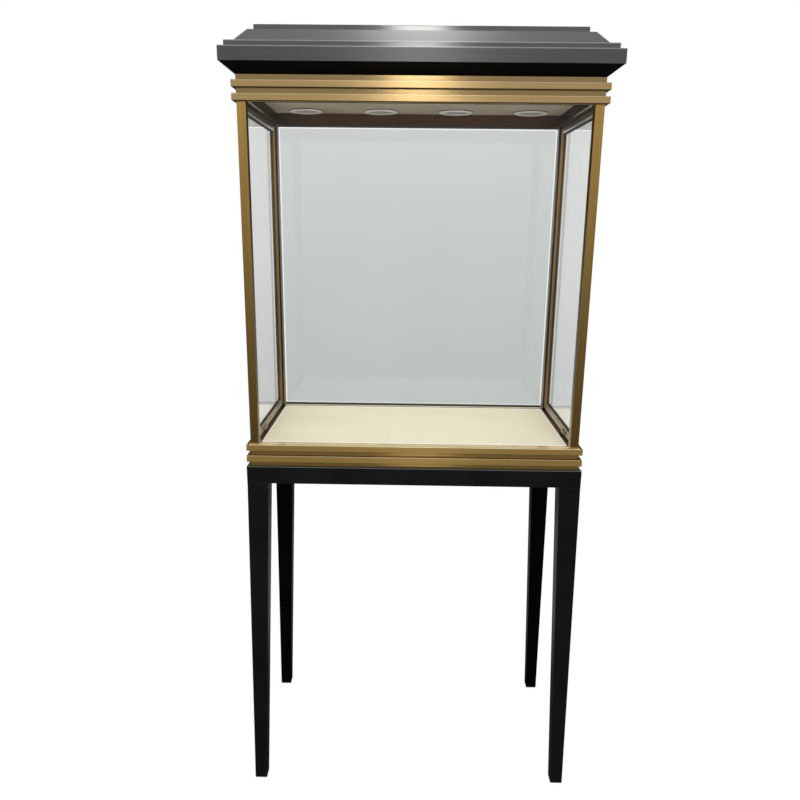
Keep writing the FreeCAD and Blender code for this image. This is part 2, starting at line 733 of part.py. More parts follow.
# Hip roof: a welded steel tray with sloping sides, a flange round its well and bosses for the cap
crest_well = "-cap_in - crest_flange"
hip_wells = [
    stage("hip_well", crest_well, crest_well, f"{HIP} - overrun", f"{CREST} + overrun"),
    stage("hip_foot_well", "-bar_depth", "-bar_depth", f"{HIP} - overrun", f"{HIP} + roof_wall"),
    stage("hip_void", "hip_out - 2 * roof_wall", "-crest_in", f"{HIP} + roof_wall", f"{CREST} - roof_wall"),
]
tray = cut("hip_tray", stage("hip_slopes", "hip_out", "-crest_in", HIP, CREST), hip_wells)
bosses = []
for sx, sy in CORNERS.values():
    foot = (*cap_screw_place(sx, sy), CREST)
    stem = rod("cap_boss_stem", "z", foot, f"{TOP} - roof_wall", "cap_boss_radius")
    thread = rod("cap_boss_thread", "z", foot, f"{TOP} + overrun", "cap_screw_radius")
    bosses.append(cut("cap_boss", stem, [thread]))
node("hip_roof", fuse("hip_tray_with_bosses", [tray, *bosses]))

# Roof cap: a shallow folded lid over the lamps, held by four countersunk screws
lid = rounded("cap_rounded", stage("cap_lid", "-cap_in", "-cap_in", CREST, TOP), "roof_edge", is_outline)
inside_cap = "-cap_in - roof_wall"
cap_tools = [stage("cap_void", inside_cap, inside_cap, f"{CREST} - overrun", f"{TOP} - roof_wall")]
screws = []
for sx, sy in CORNERS.values():
    place = cap_screw_place(sx, sy)
    neck = f"{TOP} - cap_screw_head_height"
    cap_tools.append(rod("cap_hole", "z", (*place, CREST), f"{TOP} + overrun", "cap_screw_radius"))
    cap_tools.append(cone("cap_sink", (*place, neck), TOP, "cap_screw_radius", "cap_screw_head"))
    shank = rod("cap_screw_shank", "z", (*place, CREST), neck, "cap_screw_radius")
    head = cone("cap_screw_cone", (*place, neck), TOP, "cap_screw_radius", "cap_screw_head")
    screws.append(fuse("cap_screw", [shank, head]))
node("roof_cap", cut("cap_with_holes", lid, cap_tools))
node("roof_cap_screws", group("cap_screw_set", screws))

# Door pivots: a collared pin in the sill and one in the header at the rear end of each side
pins = []
for sign in DOORS.values():
    place = pivot_place(sign)
    reach = "door_gap + pin_reach"
    collar = "door_gap - axial_gap"
    stem = rod("low_pin_stem", "z", (*place, f"{SILL} - pin_seat"), f"{SILL} + {reach}", "pin_radius")
    rim = rod("low_pin_collar", "z", (*place, SILL), f"{SILL} + {collar}", "collar_radius")
    pins.append(fuse("low_pin", [stem, rim]))
    stem = rod("high_pin_stem", "z", (*place, f"{HEAD} - ({reach})"), f"{HEAD} + pin_seat", "pin_radius")
    rim = rod("high_pin_collar", "z", (*place, f"{HEAD} - ({collar})"), HEAD, "collar_radius")
    pins.append(fuse("high_pin", [stem, rim]))
node("door_pivot_pins", group("pivot_pin_set", pins))

# Where every door's frame lies between the posts
DOOR_Y = f"({HALF_D} - post_size - door_gap)"
VIEW_Y = f"({DOOR_Y} - stile_width)"
DOOR_LOW = f"({SILL} + door_gap)"
DOOR_HIGH = f"({HEAD} - door_gap)"
VIEW_LOW = f"({DOOR_LOW} + bottom_rail_width)"
VIEW_HIGH = f"({DOOR_HIGH} - top_rail_width)"


def layer(sign, thickness):
    """The low and high X of a layer in the middle of a door's thickness."""
    middle = f"{HALF_W} - door_thickness / 2"
    return span(sign, f"{middle} - {thickness} / 2", f"{middle} + {thickness} / 2")


def view(grow):
    """The Y and Z ends of a door's glazed view, grown by a margin all round."""
    return both_ways(f"{VIEW_Y} + {grow}"), (f"{VIEW_LOW} - ({grow})", f"{VIEW_HIGH} + {grow}")


def lock_rod(name, sign, near, far, radius):
    """A round part of a lock, between two distances from the middle of the cabinet."""
    low, high = span(sign, near, far)
    return rod(name, "x", (low, LOCK_Y, LOCK_Z), high, radius)


# Doors: framed glass leaves, each on two pivots and with a cam lock in its bottom rail
for door, sign in DOORS.items():
    leaf = layer(sign, "door_thickness")
    groove = box(f"{door}_door_groove", layer(sign, "door_groove_width"), *view("door_groove_depth"))
    pivot = pivot_place(sign)
    low_bush = (DOOR_LOW, f"{DOOR_LOW} + bush_length")
    high_bush = (f"{DOOR_HIGH} - bush_length", DOOR_HIGH)
    bores = [
        rod("low_bush_bore", "z", (*pivot, f"{DOOR_LOW} - overrun"), low_bush[1], "bush_radius"),
        rod("high_bush_bore", "z", (*pivot, high_bush[0]), f"{DOOR_HIGH} + overrun", "bush_radius"),
    ]
    for end, sy in ENDS.items():
        stile = box(f"{door}_{end}_stile_bar", leaf, span(sy, VIEW_Y, DOOR_Y), (DOOR_LOW, DOOR_HIGH))
        stile = rounded(f"{door}_{end}_stile_rounded", stile, "door_edge", rises)
        tools = [groove] + (bores if end == "rear" else [])
        node(f"{door}_door_{end}_stile", cut(f"{door}_{end}_stile_grooved", stile, tools))
    barrel_ends = span(sign, f"{HALF_W} - door_thickness - overrun", f"{HALF_W} + overrun")
    barrel_hole = rod("barrel_hole", "x", (barrel_ends[0], LOCK_Y, LOCK_Z), barrel_ends[1], "barrel_radius")
    rails = {"top": (VIEW_HIGH, DOOR_HIGH), "bottom": (DOOR_LOW, VIEW_LOW)}
    for level, rail_z in rails.items():
        rail = box(f"{door}_{level}_rail_bar", leaf, both_ways(VIEW_Y), rail_z)
        rail = rounded(f"{door}_{level}_rail_rounded", rail, "door_edge", is_longest)
        tools = [groove] + ([barrel_hole] if level == "bottom" else [])
        node(f"{door}_door_{level}_rail", cut(f"{door}_{level}_rail_grooved", rail, tools))
    pane = box(f"{door}_door_pane", layer(sign, "door_glass"), *view("door_glass_bite"))
    node(f"{door}_door_glass", pane)
    seal = box(f"{door}_door_seal_block", layer(sign, "door_groove_width"), *view("door_groove_depth"))
    through = span(sign, f"{HALF_W} - door_thickness", HALF_W)
    window = box(f"{door}_door_seal_window", through, *view("-door_gasket_lip"))
    node(f"{door}_door_gasket", cut(f"{door}_door_seal", seal, [window, pane]))

    # Bushes pressed into the rear stile, running on the pivot pins
    bushes = []
    running_bore = "pin_radius + running_clearance"
    for low, high in (low_bush, high_bush):
        sleeve = rod("bush_sleeve", "z", (*pivot, low), high, "bush_radius")
        bore = rod("bush_bore", "z", (*pivot, f"{low} - overrun"), f"{high} + overrun", running_bore)
        bushes.append(cut("bush", sleeve, [bore]))
    node(f"{door}_door_bushes", group(f"{door}_bush_set", bushes))

    # Lock barrel: a sleeve through the bottom rail with a flange outside and a nut inside
    nut_face = f"{HALF_W} - door_thickness - lock_nut"
    flange_face = f"{HALF_W} + lock_flange"
    barrel = fuse(
        f"{door}_barrel_solid",
        [
            lock_rod("barrel_sleeve", sign, nut_face, HALF_W, "barrel_radius"),
            lock_rod("barrel_flange", sign, HALF_W, flange_face, "lock_flange_radius"),
            lock_rod("barrel_nut", sign, nut_face, f"{HALF_W} - door_thickness", "lock_nut_radius"),
        ],
    )
    bore_ends = (f"{nut_face} - overrun", f"{flange_face} + overrun")
    bore = lock_rod("barrel_bore", sign, *bore_ends, "plug_radius + running_clearance")
    node(f"{door}_lock_barrel", cut(f"{door}_barrel", barrel, [bore]))

    # Lock plug with its cam, which lies along the rail when unlocked and turns down into the sill
    plug = lock_rod("lock_plug", sign, CAM_INNER, flange_face, "plug_radius")
    cam_x = span(sign, CAM_INNER, CAM_OUTER)
    flat_y = (f"{LOCK_Y} - cam_tail + cam_width / 2", f"{LOCK_Y} + cam_reach - cam_width / 2")
    flat_z = (f"{LOCK_Z} - cam_width / 2", f"{LOCK_Z} + cam_width / 2")
    cam = [box("cam_flat", cam_x, flat_y, flat_z)]
    for end_y in flat_y:
        cam.append(rod("cam_end", "x", (cam_x[0], end_y, LOCK_Z), cam_x[1], "cam_width / 2"))
    screw = lock_rod("cam_screw", sign, f"{CAM_INNER} - cam_screw_head", CAM_INNER, "cam_screw_radius")
    keyway_x = span(sign, f"{flange_face} - keyway_depth", f"{flange_face} + overrun")
    keyway_y = (f"{LOCK_Y} - keyway_width / 2", f"{LOCK_Y} + keyway_width / 2")
    keyway_z = (f"{LOCK_Z} - keyway_height / 2", f"{LOCK_Z} + keyway_height / 2")
    keyway = box("lock_keyway", keyway_x, keyway_y, keyway_z)
    turning = fuse(f"{door}_plug_and_cam", [plug, *cam, screw])
    node(f"{door}_lock_cam", cut(f"{door}_lock_cam_keyed", turning, [keyway]))

doc.recompute()
for item in doc.Objects:
    if "Invalid" in item.State or "Error" in item.State:
        raise RuntimeError(f"{item.Label} failed: {item.State}")
for item in nodes:
    if item.Shape.isNull() or not item.Shape.isValid():
        raise RuntimeError(f"{item.Label} has no valid shape")

os.makedirs("parts", exist_ok=True)
for item in nodes:
    item.Shape.exportStep(f"parts/{item.Label}.step")
print(len(nodes), "nodes")
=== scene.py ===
import math

import bmesh
import bpy
from mathutils import Matrix, Vector


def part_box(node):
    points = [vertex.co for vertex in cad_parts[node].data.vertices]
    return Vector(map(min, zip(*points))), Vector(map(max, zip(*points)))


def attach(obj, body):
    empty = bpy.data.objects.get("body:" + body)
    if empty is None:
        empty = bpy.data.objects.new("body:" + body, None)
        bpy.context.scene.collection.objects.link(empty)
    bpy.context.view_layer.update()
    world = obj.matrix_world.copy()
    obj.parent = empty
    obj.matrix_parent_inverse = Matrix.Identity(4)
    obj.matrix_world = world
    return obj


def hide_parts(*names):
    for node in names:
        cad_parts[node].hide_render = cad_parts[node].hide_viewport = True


# Jewelry display cabinet in its studio, in metres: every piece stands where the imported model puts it.
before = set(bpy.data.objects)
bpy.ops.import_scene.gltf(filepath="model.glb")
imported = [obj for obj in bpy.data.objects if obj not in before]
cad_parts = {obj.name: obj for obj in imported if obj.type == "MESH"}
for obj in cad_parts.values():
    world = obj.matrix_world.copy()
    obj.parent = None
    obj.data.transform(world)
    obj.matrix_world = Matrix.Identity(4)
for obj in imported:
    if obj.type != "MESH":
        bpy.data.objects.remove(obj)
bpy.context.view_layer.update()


# Stand: an apron ring of folded steel channels over four tapered, splayed legs of welded plate.
# Everything is powder coated satin black after welding, with a very fine orange peel, and paler along
# the corners, partly a thinner film and partly a painted highlight. The apron's upper edge carries a
# painted grey highlight, and the rear legs are painted a deeper black as shade.
POWDER_BLACK = (0.0020, 0.0024, 0.0022)
POWDER_THIN = (0.0040, 0.0046, 0.0042)
POWDER_CORNER_HIGHLIGHT = (0.028, 0.029, 0.029)
POWDER_ROUGHNESS = 0.40
POWDER_GLOSS = 0.12
REAR_POWDER_SHADE_SHARE = 0.25
APRON_EDGE_HIGHLIGHT = (0.075, 0.075, 0.080, 1)
APRON_EDGE_WIDTH = 0.0018
LEVEL_SHARE = 0.5
PEEL_PER_METRE = 620
PEEL_DEPTH = 0.00006
FILM_PER_METRE = 7
FILM_STOP_SHARES = (0.3, 0.8)
CORNER_REACH = 0.0015
CORNER_SAMPLES = 4
CORNER_DOT_SHARE = 0.75


def finish(name):
    """A new material, with its node tree and its Principled shader."""
    material = bpy.data.materials.new(name)
    material.use_nodes = True
    tree = material.node_tree
    return material, tree, tree.nodes["Principled BSDF"]


def settings(shader, **values):
    """Sets plain values on a shader's own sockets, named with _ for each space."""
    for name, value in values.items():
        shader.inputs[name.replace("_", " ")].default_value = value


def feed(tree, socket, value):
    """Links a socket to another, or sets a plain value on it."""
    if isinstance(value, bpy.types.NodeSocket):
        tree.links.new(value, socket)
    else:
        socket.default_value = value


def own_place(tree):
    """Where a point lies on the piece, in metres."""
    return tree.nodes.new("ShaderNodeTexCoord").outputs["Object"]


def noise(tree, per_metre, detail=2):
    """Cloudy noise over a piece, with so many cells per metre along X, Y and Z."""
    stretch = tree.nodes.new("ShaderNodeMapping")
    stretch.inputs["Scale"].default_value = per_metre
    cloud = tree.nodes.new("ShaderNodeTexNoise")
    cloud.inputs["Scale"].default_value = 1
    cloud.inputs["Detail"].default_value = detail
    tree.links.new(own_place(tree), stretch.inputs["Vector"])
    tree.links.new(stretch.outputs["Vector"], cloud.inputs["Vector"])
    return cloud.outputs["Fac"]


def even(per_metre):
    """The same count of cells along each axis."""
    return (per_metre, per_metre, per_metre)


def shades(tree, factor, *stops):
    """Colours laid along a factor, as pairs of a place and a colour."""
    ramp = tree.nodes.new("ShaderNodeValToRGB")
    elements = ramp.color_ramp.elements
    while len(elements) < len(stops):
        elements.new(1)
    for element, (place, colour) in zip(elements, stops):
        element.position = place
        element.color = colour
    tree.links.new(factor, ramp.inputs["Fac"])
    return ramp.outputs["Color"]


def two_tone(tree, factor, stop_shares, first, second):
    """One colour that turns into another between two stops of a factor."""
    return shades(tree, factor, *zip(stop_shares, (first, second)))


def spread(tree, factor, low, high, start=0, end=1):
    """A factor that runs from start to end, turned into a number from low to high."""
    scale = tree.nodes.new("ShaderNodeMapRange")
    for name, value in (("From Min", start), ("From Max", end), ("To Min", low), ("To Max", high)):
        scale.inputs[name].default_value = value
    tree.links.new(factor, scale.inputs["Value"])
    return scale.outputs["Result"]


def laid_over(tree, factor, under, over):
    """One colour laid over another by a factor."""
    mix = tree.nodes.new("ShaderNodeMixRGB")
    for name, value in (("Fac", factor), ("Color1", under), ("Color2", over)):
        feed(tree, mix.inputs[name], value)
    return mix.outputs["Color"]


def relief(tree, shader, height, depth):
    """Raises a surface by a height of 0 to 1 times a depth."""
    bump = tree.nodes.new("ShaderNodeBump")
    bump.inputs["Distance"].default_value = depth
    tree.links.new(height, bump.inputs["Height"])
    tree.links.new(bump.outputs["Normal"], shader.inputs["Normal"])


def corners(tree):
    """1 along a piece's corners and 0 on its faces."""
    rounded = tree.nodes.new("ShaderNodeBevel")
    rounded.samples = CORNER_SAMPLES
    rounded.inputs["Radius"].default_value = CORNER_REACH
    facing = tree.nodes.new("ShaderNodeVectorMath")
    facing.operation = "DOT_PRODUCT"
    tree.links.new(rounded.outputs["Normal"], facing.inputs[0])
    tree.links.new(tree.nodes.new("ShaderNodeNewGeometry").outputs["Normal"], facing.inputs[1])
    return spread(tree, facing.outputs["Value"], 1, 0, start=CORNER_DOT_SHARE)


def dress(material, *names):
    """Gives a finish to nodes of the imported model."""
    for name in names:
        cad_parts[name].material_slots[0].material = material


def math_node(tree, operation, first, second):
    """One sum on two sockets or numbers."""
    node = tree.nodes.new("ShaderNodeMath")
    node.operation = operation
    for socket, value in zip(node.inputs, (first, second)):
        feed(tree, socket, value)
    return node.outputs["Value"]


def axes(tree):
    """The X, Y and Z of a point on the piece, in metres."""
    split = tree.nodes.new("ShaderNodeSeparateXYZ")
    tree.links.new(own_place(tree), split.inputs["Vector"])
    return split.outputs


def tilt(tree):
    """How far a face looks up: 1 for a top, 0 for a side and -1 for an underside."""
    split = tree.nodes.new("ShaderNodeSeparateXYZ")
    tree.links.new(tree.nodes.new("ShaderNodeTexCoord").outputs["Normal"], split.inputs["Vector"])
    return split.outputs["Z"]


def both(tree, *masks):
    """1 where every mask is 1."""
    product = masks[0]
    for mask in masks[1:]:
        product = math_node(tree, "MULTIPLY", product, mask)
    return product


def higher(tree, place, level):
    """1 above a height."""
    return math_node(tree, "GREATER_THAN", place["Z"], level)


def tone(colour, share):
    """A colour made darker or paler."""
    return tuple(channel * share for channel in colour) + (1,)


def powder(name, share=1, highlight_z=None):
    """Satin black powder coat, made darker by a share as painted shade, with painted highlights along the
    corners and a painted highlight line above a height.
    """
    material, tree, shader = finish(name)
    thick, thin, corner_highlight = [tone(colour, share) for colour in (POWDER_BLACK, POWDER_THIN, POWDER_CORNER_HIGHLIGHT)]
    film = two_tone(tree, noise(tree, even(FILM_PER_METRE)), FILM_STOP_SHARES, thick, thin)
    # Paler along the corners: partly a thinner film, partly a painted highlight.
    colour = laid_over(tree, corners(tree), film, corner_highlight)
    # A painted grey highlight along the apron's upper edge.
    if highlight_z:
        upright = math_node(tree, "LESS_THAN", tilt(tree), LEVEL_SHARE)
        highlight_line = both(tree, upright, higher(tree, axes(tree), highlight_z))
        colour = laid_over(tree, highlight_line, colour, APRON_EDGE_HIGHLIGHT)
    tree.links.new(colour, shader.inputs["Base Color"])
    settings(shader, Roughness=POWDER_ROUGHNESS, Specular_IOR_Level=POWDER_GLOSS * share)
    relief(tree, shader, noise(tree, even(PEEL_PER_METRE)), PEEL_DEPTH)
    return material


SIDES = ("front", "rear", "left", "right")
CORNERS = ("front_left", "front_right", "rear_left", "rear_right")

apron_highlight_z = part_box("apron_front")[1].z - APRON_EDGE_WIDTH
dress(powder("apron_powder_coat", highlight_z=apron_highlight_z), *[f"apron_{side}" for side in SIDES])
dress(powder("front_leg_powder_coat"), "leg_front_left", "leg_front_right")
# The rear legs are painted darker than the front ones, as shade.
dress(powder("rear_leg_shaded_powder_coat", REAR_POWDER_SHADE_SHARE), "leg_rear_left", "leg_rear_right")


# Leg bolts, post bolts and pivot pins: turned steel, zinc plated afterwards, so that the
# plating has a faint cloudy bloom. They hold the legs, the posts and the doors.
ZINC_PALE = (0.50, 0.50, 0.51, 1)
ZINC_DULL = (0.33, 0.33, 0.34, 1)
ZINC_PER_METRE = 260
ZINC_STOP_SHARES = (0.35, 0.7)
ZINC_ROUGHNESS = 0.38

zinc_plate, tree, shader = finish("zinc_plated_steel")
bloom = noise(tree, even(ZINC_PER_METRE), detail=4)
tree.links.new(two_tone(tree, bloom, ZINC_STOP_SHARES, ZINC_DULL, ZINC_PALE), shader.inputs["Base Color"])
tree.links.new(spread(tree, bloom, ZINC_ROUGHNESS, ZINC_ROUGHNESS / 2), shader.inputs["Roughness"])
settings(shader, Metallic=1)
dress(zinc_plate, "leg_bolts", "post_bolts", "door_pivot_pins")


# Glides: black plastic feet plugged into the legs, injection moulded with a fine spark texture
# and scuffed where they slide. The lamp driver and the power inlet are moulded alike.
GLIDE_BLACK = (0.016, 0.016, 0.016, 1)
GLIDE_SCUFFED = (0.045, 0.044, 0.042, 1)
GLIDE_ROUGHNESS = 0.55
SPARK_PER_METRE = 1400
SPARK_DEPTH = 0.00005
SCUFF_PER_METRE = 90
SCUFF_STOP_SHARES = (0.5, 0.85)

moulded_black, tree, shader = finish("moulded_black_plastic")
scuff = noise(tree, even(SCUFF_PER_METRE), detail=5)
scuffed = two_tone(tree, scuff, SCUFF_STOP_SHARES, GLIDE_BLACK, GLIDE_SCUFFED)
tree.links.new(scuffed, shader.inputs["Base Color"])
settings(shader, Roughness=GLIDE_ROUGHNESS)
relief(tree, shader, noise(tree, even(SPARK_PER_METRE)), SPARK_DEPTH)
dress(moulded_black, "leg_glides", "led_driver", "power_inlet")


# Base bars: gold anodised aluminium extrusions, brushed along their length before anodising and
# mitred at the corners. Two bands stand proud of each bar. Their upper edges and the level sill carry
# painted highlights; the other level ledges, the faces inside the case and the slot under each door
# are painted dark as shade; and cream felt is glued along the rear sill.
WHITE = (1, 1, 1)
INSIDE_GLOSS_SHARE = 0.30
DULL_GLOSS_SHARE = 0.08
BASE_GOLD = (0.76, 0.49, 0.158)
BASE_LEDGE_SHADE = (0.22, 0.165, 0.085, 1)
BASE_SILL_HIGHLIGHT = (1.0, 0.84, 0.47, 1)
BASE_EDGE_HIGHLIGHT = (1.0, 0.80, 0.45, 1)
BASE_EDGE_HEIGHTS = (0.8803, 0.9063)
EDGE_REACH = 0.0010
BASE_RECESS_ROUGHNESS = 0.23
SLOT_SHADE_BROWN = (0.46, 0.36, 0.23, 1)
SLOT_GLOSS_SHARE = 0.40
SLOT_X = 0.3765
SLOT_LOW = 0.9
SILL_X = 0.383
FELT_CREAM = (0.80, 0.75, 0.58, 1)
FELT_Y = (0.190, 0.201)
GOLD_INSIDE_SHADE = (0.16, 0.075, 0.020, 1)
BAR_CONTRAST_SHARE = 0.08
BASE_ROUGHNESS = 0.34
ROUGHNESS_SWING = 0.03
RECESS_X = (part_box("post_front_right")[1].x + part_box("base_right")[1].x) / 2
RECESS_Y = (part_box("post_rear_right")[1].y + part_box("base_rear")[1].y) / 2
BRUSH_STRETCH = 0.75
HAIRLINE_PER_METRE = 1600
STREAK_PER_METRE = 330
HAIRLINE_RUN_PER_METRE = 4
HAIRLINE_DEPTH = 0.00001
STREAK_WEIGHT_SHARE = 0.40
HAIRLINE_STOP_SHARES = (0.36, 0.64)
QUARTER_TURN_SHARE = 0.25
TIE_BREAK = 0.02
CASE_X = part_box("post_front_right")[0].x
CASE_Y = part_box("post_rear_right")[0].y
FACE_TOLERANCE = 0.0006
ALONG_X, ALONG_Y, UPRIGHT = range(3)


def nearer(tree, axis, distance):
    """1 where a point is nearer to the cabinet's middle plane than a distance, and 0 beyond."""
    return math_node(tree, "LESS_THAN", math_node(tree, "ABSOLUTE", axis, 0), distance)


def along_face(tree, tie_break):
    """The level direction along a face, with a tie broken where the face itself is level."""
    normal = tree.nodes.new("ShaderNodeTexCoord").outputs["Normal"]
    level = tree.nodes.new("ShaderNodeVectorMath")
    level.operation = "CROSS_PRODUCT"
    level.inputs[0].default_value = (0, 0, 1)
    tree.links.new(normal, level.inputs[1])
    nudge = tree.nodes.new("ShaderNodeVectorMath")
    nudge.operation = "ADD"
    nudge.inputs[1].default_value = tie_break
    tree.links.new(level.outputs["Vector"], nudge.inputs[0])
    turn = tree.nodes.new("ShaderNodeVectorTransform")
    turn.vector_type = "VECTOR"
    turn.convert_from = "OBJECT"
    turn.convert_to = "WORLD"
    tree.links.new(nudge.outputs["Vector"], turn.inputs["Vector"])
    return turn.outputs["Vector"]


def between(tree, factor, low, high):
    """A number from low to high by a factor."""
    mix = tree.nodes.new("ShaderNodeMix")
    for name, value in (("Factor", factor), ("A", low), ("B", high)):
        feed(tree, mix.inputs[name], value)
    return mix.outputs["Result"]


def brush(tree, shader, run, metal, contrast):
    """Brushes a metal along one axis, and returns its hairlines and their colour."""
    fine = [HAIRLINE_PER_METRE] * 3
    wide = [STREAK_PER_METRE] * 3
    fine[run] = wide[run] = HAIRLINE_RUN_PER_METRE
    lines = between(tree, STREAK_WEIGHT_SHARE, noise(tree, fine, detail=3), noise(tree, wide, detail=3))
    settings(shader, Metallic=1, Anisotropic=BRUSH_STRETCH)
    settings(shader, Anisotropic_Rotation=0 if run == UPRIGHT else QUARTER_TURN_SHARE)
    tie = [0, 0, 0]
    tie[ALONG_X if run == UPRIGHT else run] = TIE_BREAK
    tree.links.new(along_face(tree, tie), shader.inputs["Tangent"])
    relief(tree, shader, lines, HAIRLINE_DEPTH)
    dark, pale = tone(metal, 1 - contrast), tone(metal, 1 + contrast)
    return lines, two_tone(tree, lines, HAIRLINE_STOP_SHARES, dark, pale)


def lower(tree, place, level):
    """1 below a height."""
    return math_node(tree, "LESS_THAN", place["Z"], level)


def topside(tree, place):
    """1 on a level face that looks up."""
    return math_node(tree, "GREATER_THAN", tilt(tree), LEVEL_SHARE)


def sill(tree, place):
    """1 on the level top of a base bar, short of the outer ledges beside the posts."""
    return both(tree, topside(tree, place), higher(tree, place, SLOT_LOW), nearer(tree, place["X"], SILL_X))


def felted(tree, place):
    """1 on the felt strip between the floor and the rear pane."""
    start, end = FELT_Y
    behind = both(tree, math_node(tree, "GREATER_THAN", place["Y"], start), nearer(tree, place["Y"], end))
    return both(tree, sill(tree, place), behind, nearer(tree, place["X"], CASE_X))


def recessed(tree, place):
    """1 on the faces that lie back between a bar's bands."""
    return both(tree, nearer(tree, place["X"], RECESS_X), nearer(tree, place["Y"], RECESS_Y))


def beside_case(tree, place):
    """1 on a face in line with the left or right of the case, and the same for the front or rear."""
    near_x = nearer(tree, place["X"], CASE_X + FACE_TOLERANCE)
    return near_x, nearer(tree, place["Y"], CASE_Y + FACE_TOLERANCE)


def in_case(tree, place):
    """1 on the faces that close the case in."""
    return both(tree, *beside_case(tree, place))


def at_heights(tree, place, heights, reach):
    """1 within a reach of some heights."""
    lines = 0
    for height in heights:
        apart = math_node(tree, "ABSOLUTE", math_node(tree, "SUBTRACT", place["Z"], height), 0)
        lines = math_node(tree, "MAXIMUM", lines, math_node(tree, "LESS_THAN", apart, reach))
    return lines


def band_edges(*heights):
    """A mask for the lines along a bar's bands at some heights."""

    def mask(tree, place):
        lines = at_heights(tree, place, heights, EDGE_REACH)
        return both(tree, lines, math_node(tree, "SUBTRACT", 1, recessed(tree, place)))

    return mask


def door_slot(tree, place):
    """1 on the sill in the slot under a door."""
    under = both(tree, nearer(tree, place["X"], SLOT_X), nearer(tree, place["Y"], CASE_Y - FACE_TOLERANCE))
    return both(tree, under, higher(tree, place, SLOT_LOW))


def gold(
    name, run, metal, contrast=BAR_CONTRAST_SHARE, roughness=BASE_ROUGHNESS, casts=(), smooth=None, dull=None
):
    """Brushed gold, with other colours laid over it by masks, in order, each with its gloss at a low angle.

    A pair of a mask and a roughness makes some faces smoother. One more mask picks the faces that get
    no metal, such as felt, and undersides painted dark as shade.
    """
    material, tree, shader = finish(name)
    lines, colour = brush(tree, shader, run, metal, contrast)
    rough = spread(tree, lines, roughness - ROUGHNESS_SWING, roughness + ROUGHNESS_SWING)
    place = axes(tree)
    if smooth:
        smooth_mask, smooth_roughness = smooth
        rough = between(tree, smooth_mask(tree, place), rough, smooth_roughness)
    tree.links.new(rough, shader.inputs["Roughness"])
    if dull:
        tree.links.new(math_node(tree, "SUBTRACT", 1, dull(tree, place)), shader.inputs["Metallic"])
        settings(shader, Specular_IOR_Level=0)
    gloss = tone(WHITE, 1)
    for mask, cast, gloss_share in casts:
        chosen = mask(tree, place)
        colour = laid_over(tree, chosen, colour, cast)
        gloss = laid_over(tree, chosen, gloss, tone(WHITE, gloss_share))
    tree.links.new(colour, shader.inputs["Base Color"])
    feed(tree, shader.inputs["Specular Tint"], gloss)
    return material


# Painted highlights on the bands' upper edges and the sill, and painted shade on the other level ledges,
# inside the case and in the door slots.
base_casts = (
    (recessed, tone(BASE_GOLD, 1), 1),
    (band_edges(*BASE_EDGE_HEIGHTS), BASE_EDGE_HIGHLIGHT, 1),
    (topside, BASE_LEDGE_SHADE, INSIDE_GLOSS_SHARE),
    (sill, BASE_SILL_HIGHLIGHT, 1),
    (in_case, GOLD_INSIDE_SHADE, INSIDE_GLOSS_SHARE),
    (door_slot, SLOT_SHADE_BROWN, SLOT_GLOSS_SHARE),
    (felted, FELT_CREAM, DULL_GLOSS_SHARE),
)
base_look = {
    "metal": BASE_GOLD,
    "casts": base_casts,
    "smooth": (recessed, BASE_RECESS_ROUGHNESS),
    "dull": felted,
}
dress(gold("base_gold_across", ALONG_X, **base_look), "base_front", "base_rear")
dress(gold("base_gold_fore_and_aft", ALONG_Y, **base_look), "base_left", "base_right")


# Floor: a plywood board drawn tightly into cream leatherette, turned under and glued, with a paler rim
# along its edges that is a painted highlight. Three softwood battens below carry it on the ledges of the base
# bars.
LEATHERETTE_CREAM = (0.87, 0.815, 0.610, 1)
LEATHERETTE_SHADE = (0.82, 0.755, 0.550, 1)
LEATHERETTE_RIM_HIGHLIGHT = (0.97, 0.94, 0.83, 1)
RIM_WIDTHS = (0.006, 0.011)
LEATHERETTE_ROUGHNESS = 0.55
LEATHERETTE_GLOSS = 0.35
CREAM_PER_METRE = (4, 9, 9)
CREAM_STOP_SHARES = (0.3, 0.65)
PEBBLE_PER_METRE = 900
PEBBLE_DEPTH = 0.00010
PLYWOOD_PALE = (0.52, 0.36, 0.20, 1)
PLYWOOD_DARK = (0.36, 0.22, 0.11, 1)
WOOD_ROUGHNESS = 0.7
GRAIN_PER_METRE = 190
GRAIN_RUN_PER_METRE = 5
GRAIN_STOP_SHARES = (0.35, 0.65)
GRAIN_DEPTH = 0.0002
BOARD_THICKNESS = 0.024
COVER_THICKNESS = 0.0012
COVER_RADIUS = 0.0025
COVER_SEGMENTS = 4
FLAP_WIDTH = 0.032
BATTEN_PLACES = {"left": -0.25, "middle": 0, "right": 0.25}
BATTEN_WIDTH = 0.040
BATTEN_CHAMFER = 0.002
CHAMFER_SEGMENTS = 2
FLAT_SHARE = 0.9
STEEP_SHARE = 0.1
SMOOTH_ANGLE = math.radians(35)


def block(name, low, high):
    """A cube primitive stretched between two corners, opened for shaping."""
    bpy.ops.object.select_all(action="DESELECT")
    bpy.ops.mesh.primitive_cube_add(size=1, location=(Vector(low) + Vector(high)) / 2)
    piece = bpy.context.object
    piece.name = name
    piece.scale = Vector(high) - Vector(low)
    bpy.ops.object.transform_apply()
    bpy.ops.object.mode_set(mode="EDIT")
    return piece


def pick(piece, kind, chosen):
    """In edit mode, selects only the faces or edges that a test chooses."""
    bpy.ops.mesh.select_mode(type=kind)
    bpy.ops.mesh.select_all(action="DESELECT")
    mesh = bmesh.from_edit_mesh(piece.data)
    mesh.normal_update()
    for part in mesh.faces if kind == "FACE" else mesh.edges:
        part.select_set(bool(chosen(part)))
    bmesh.update_edit_mesh(piece.data)


def upright_edge(edge):
    """True for an edge that stands upright."""
    ends = [corner.co for corner in edge.verts]
    return (ends[0] - ends[1]).normalized().z ** 2 > FLAT_SHARE


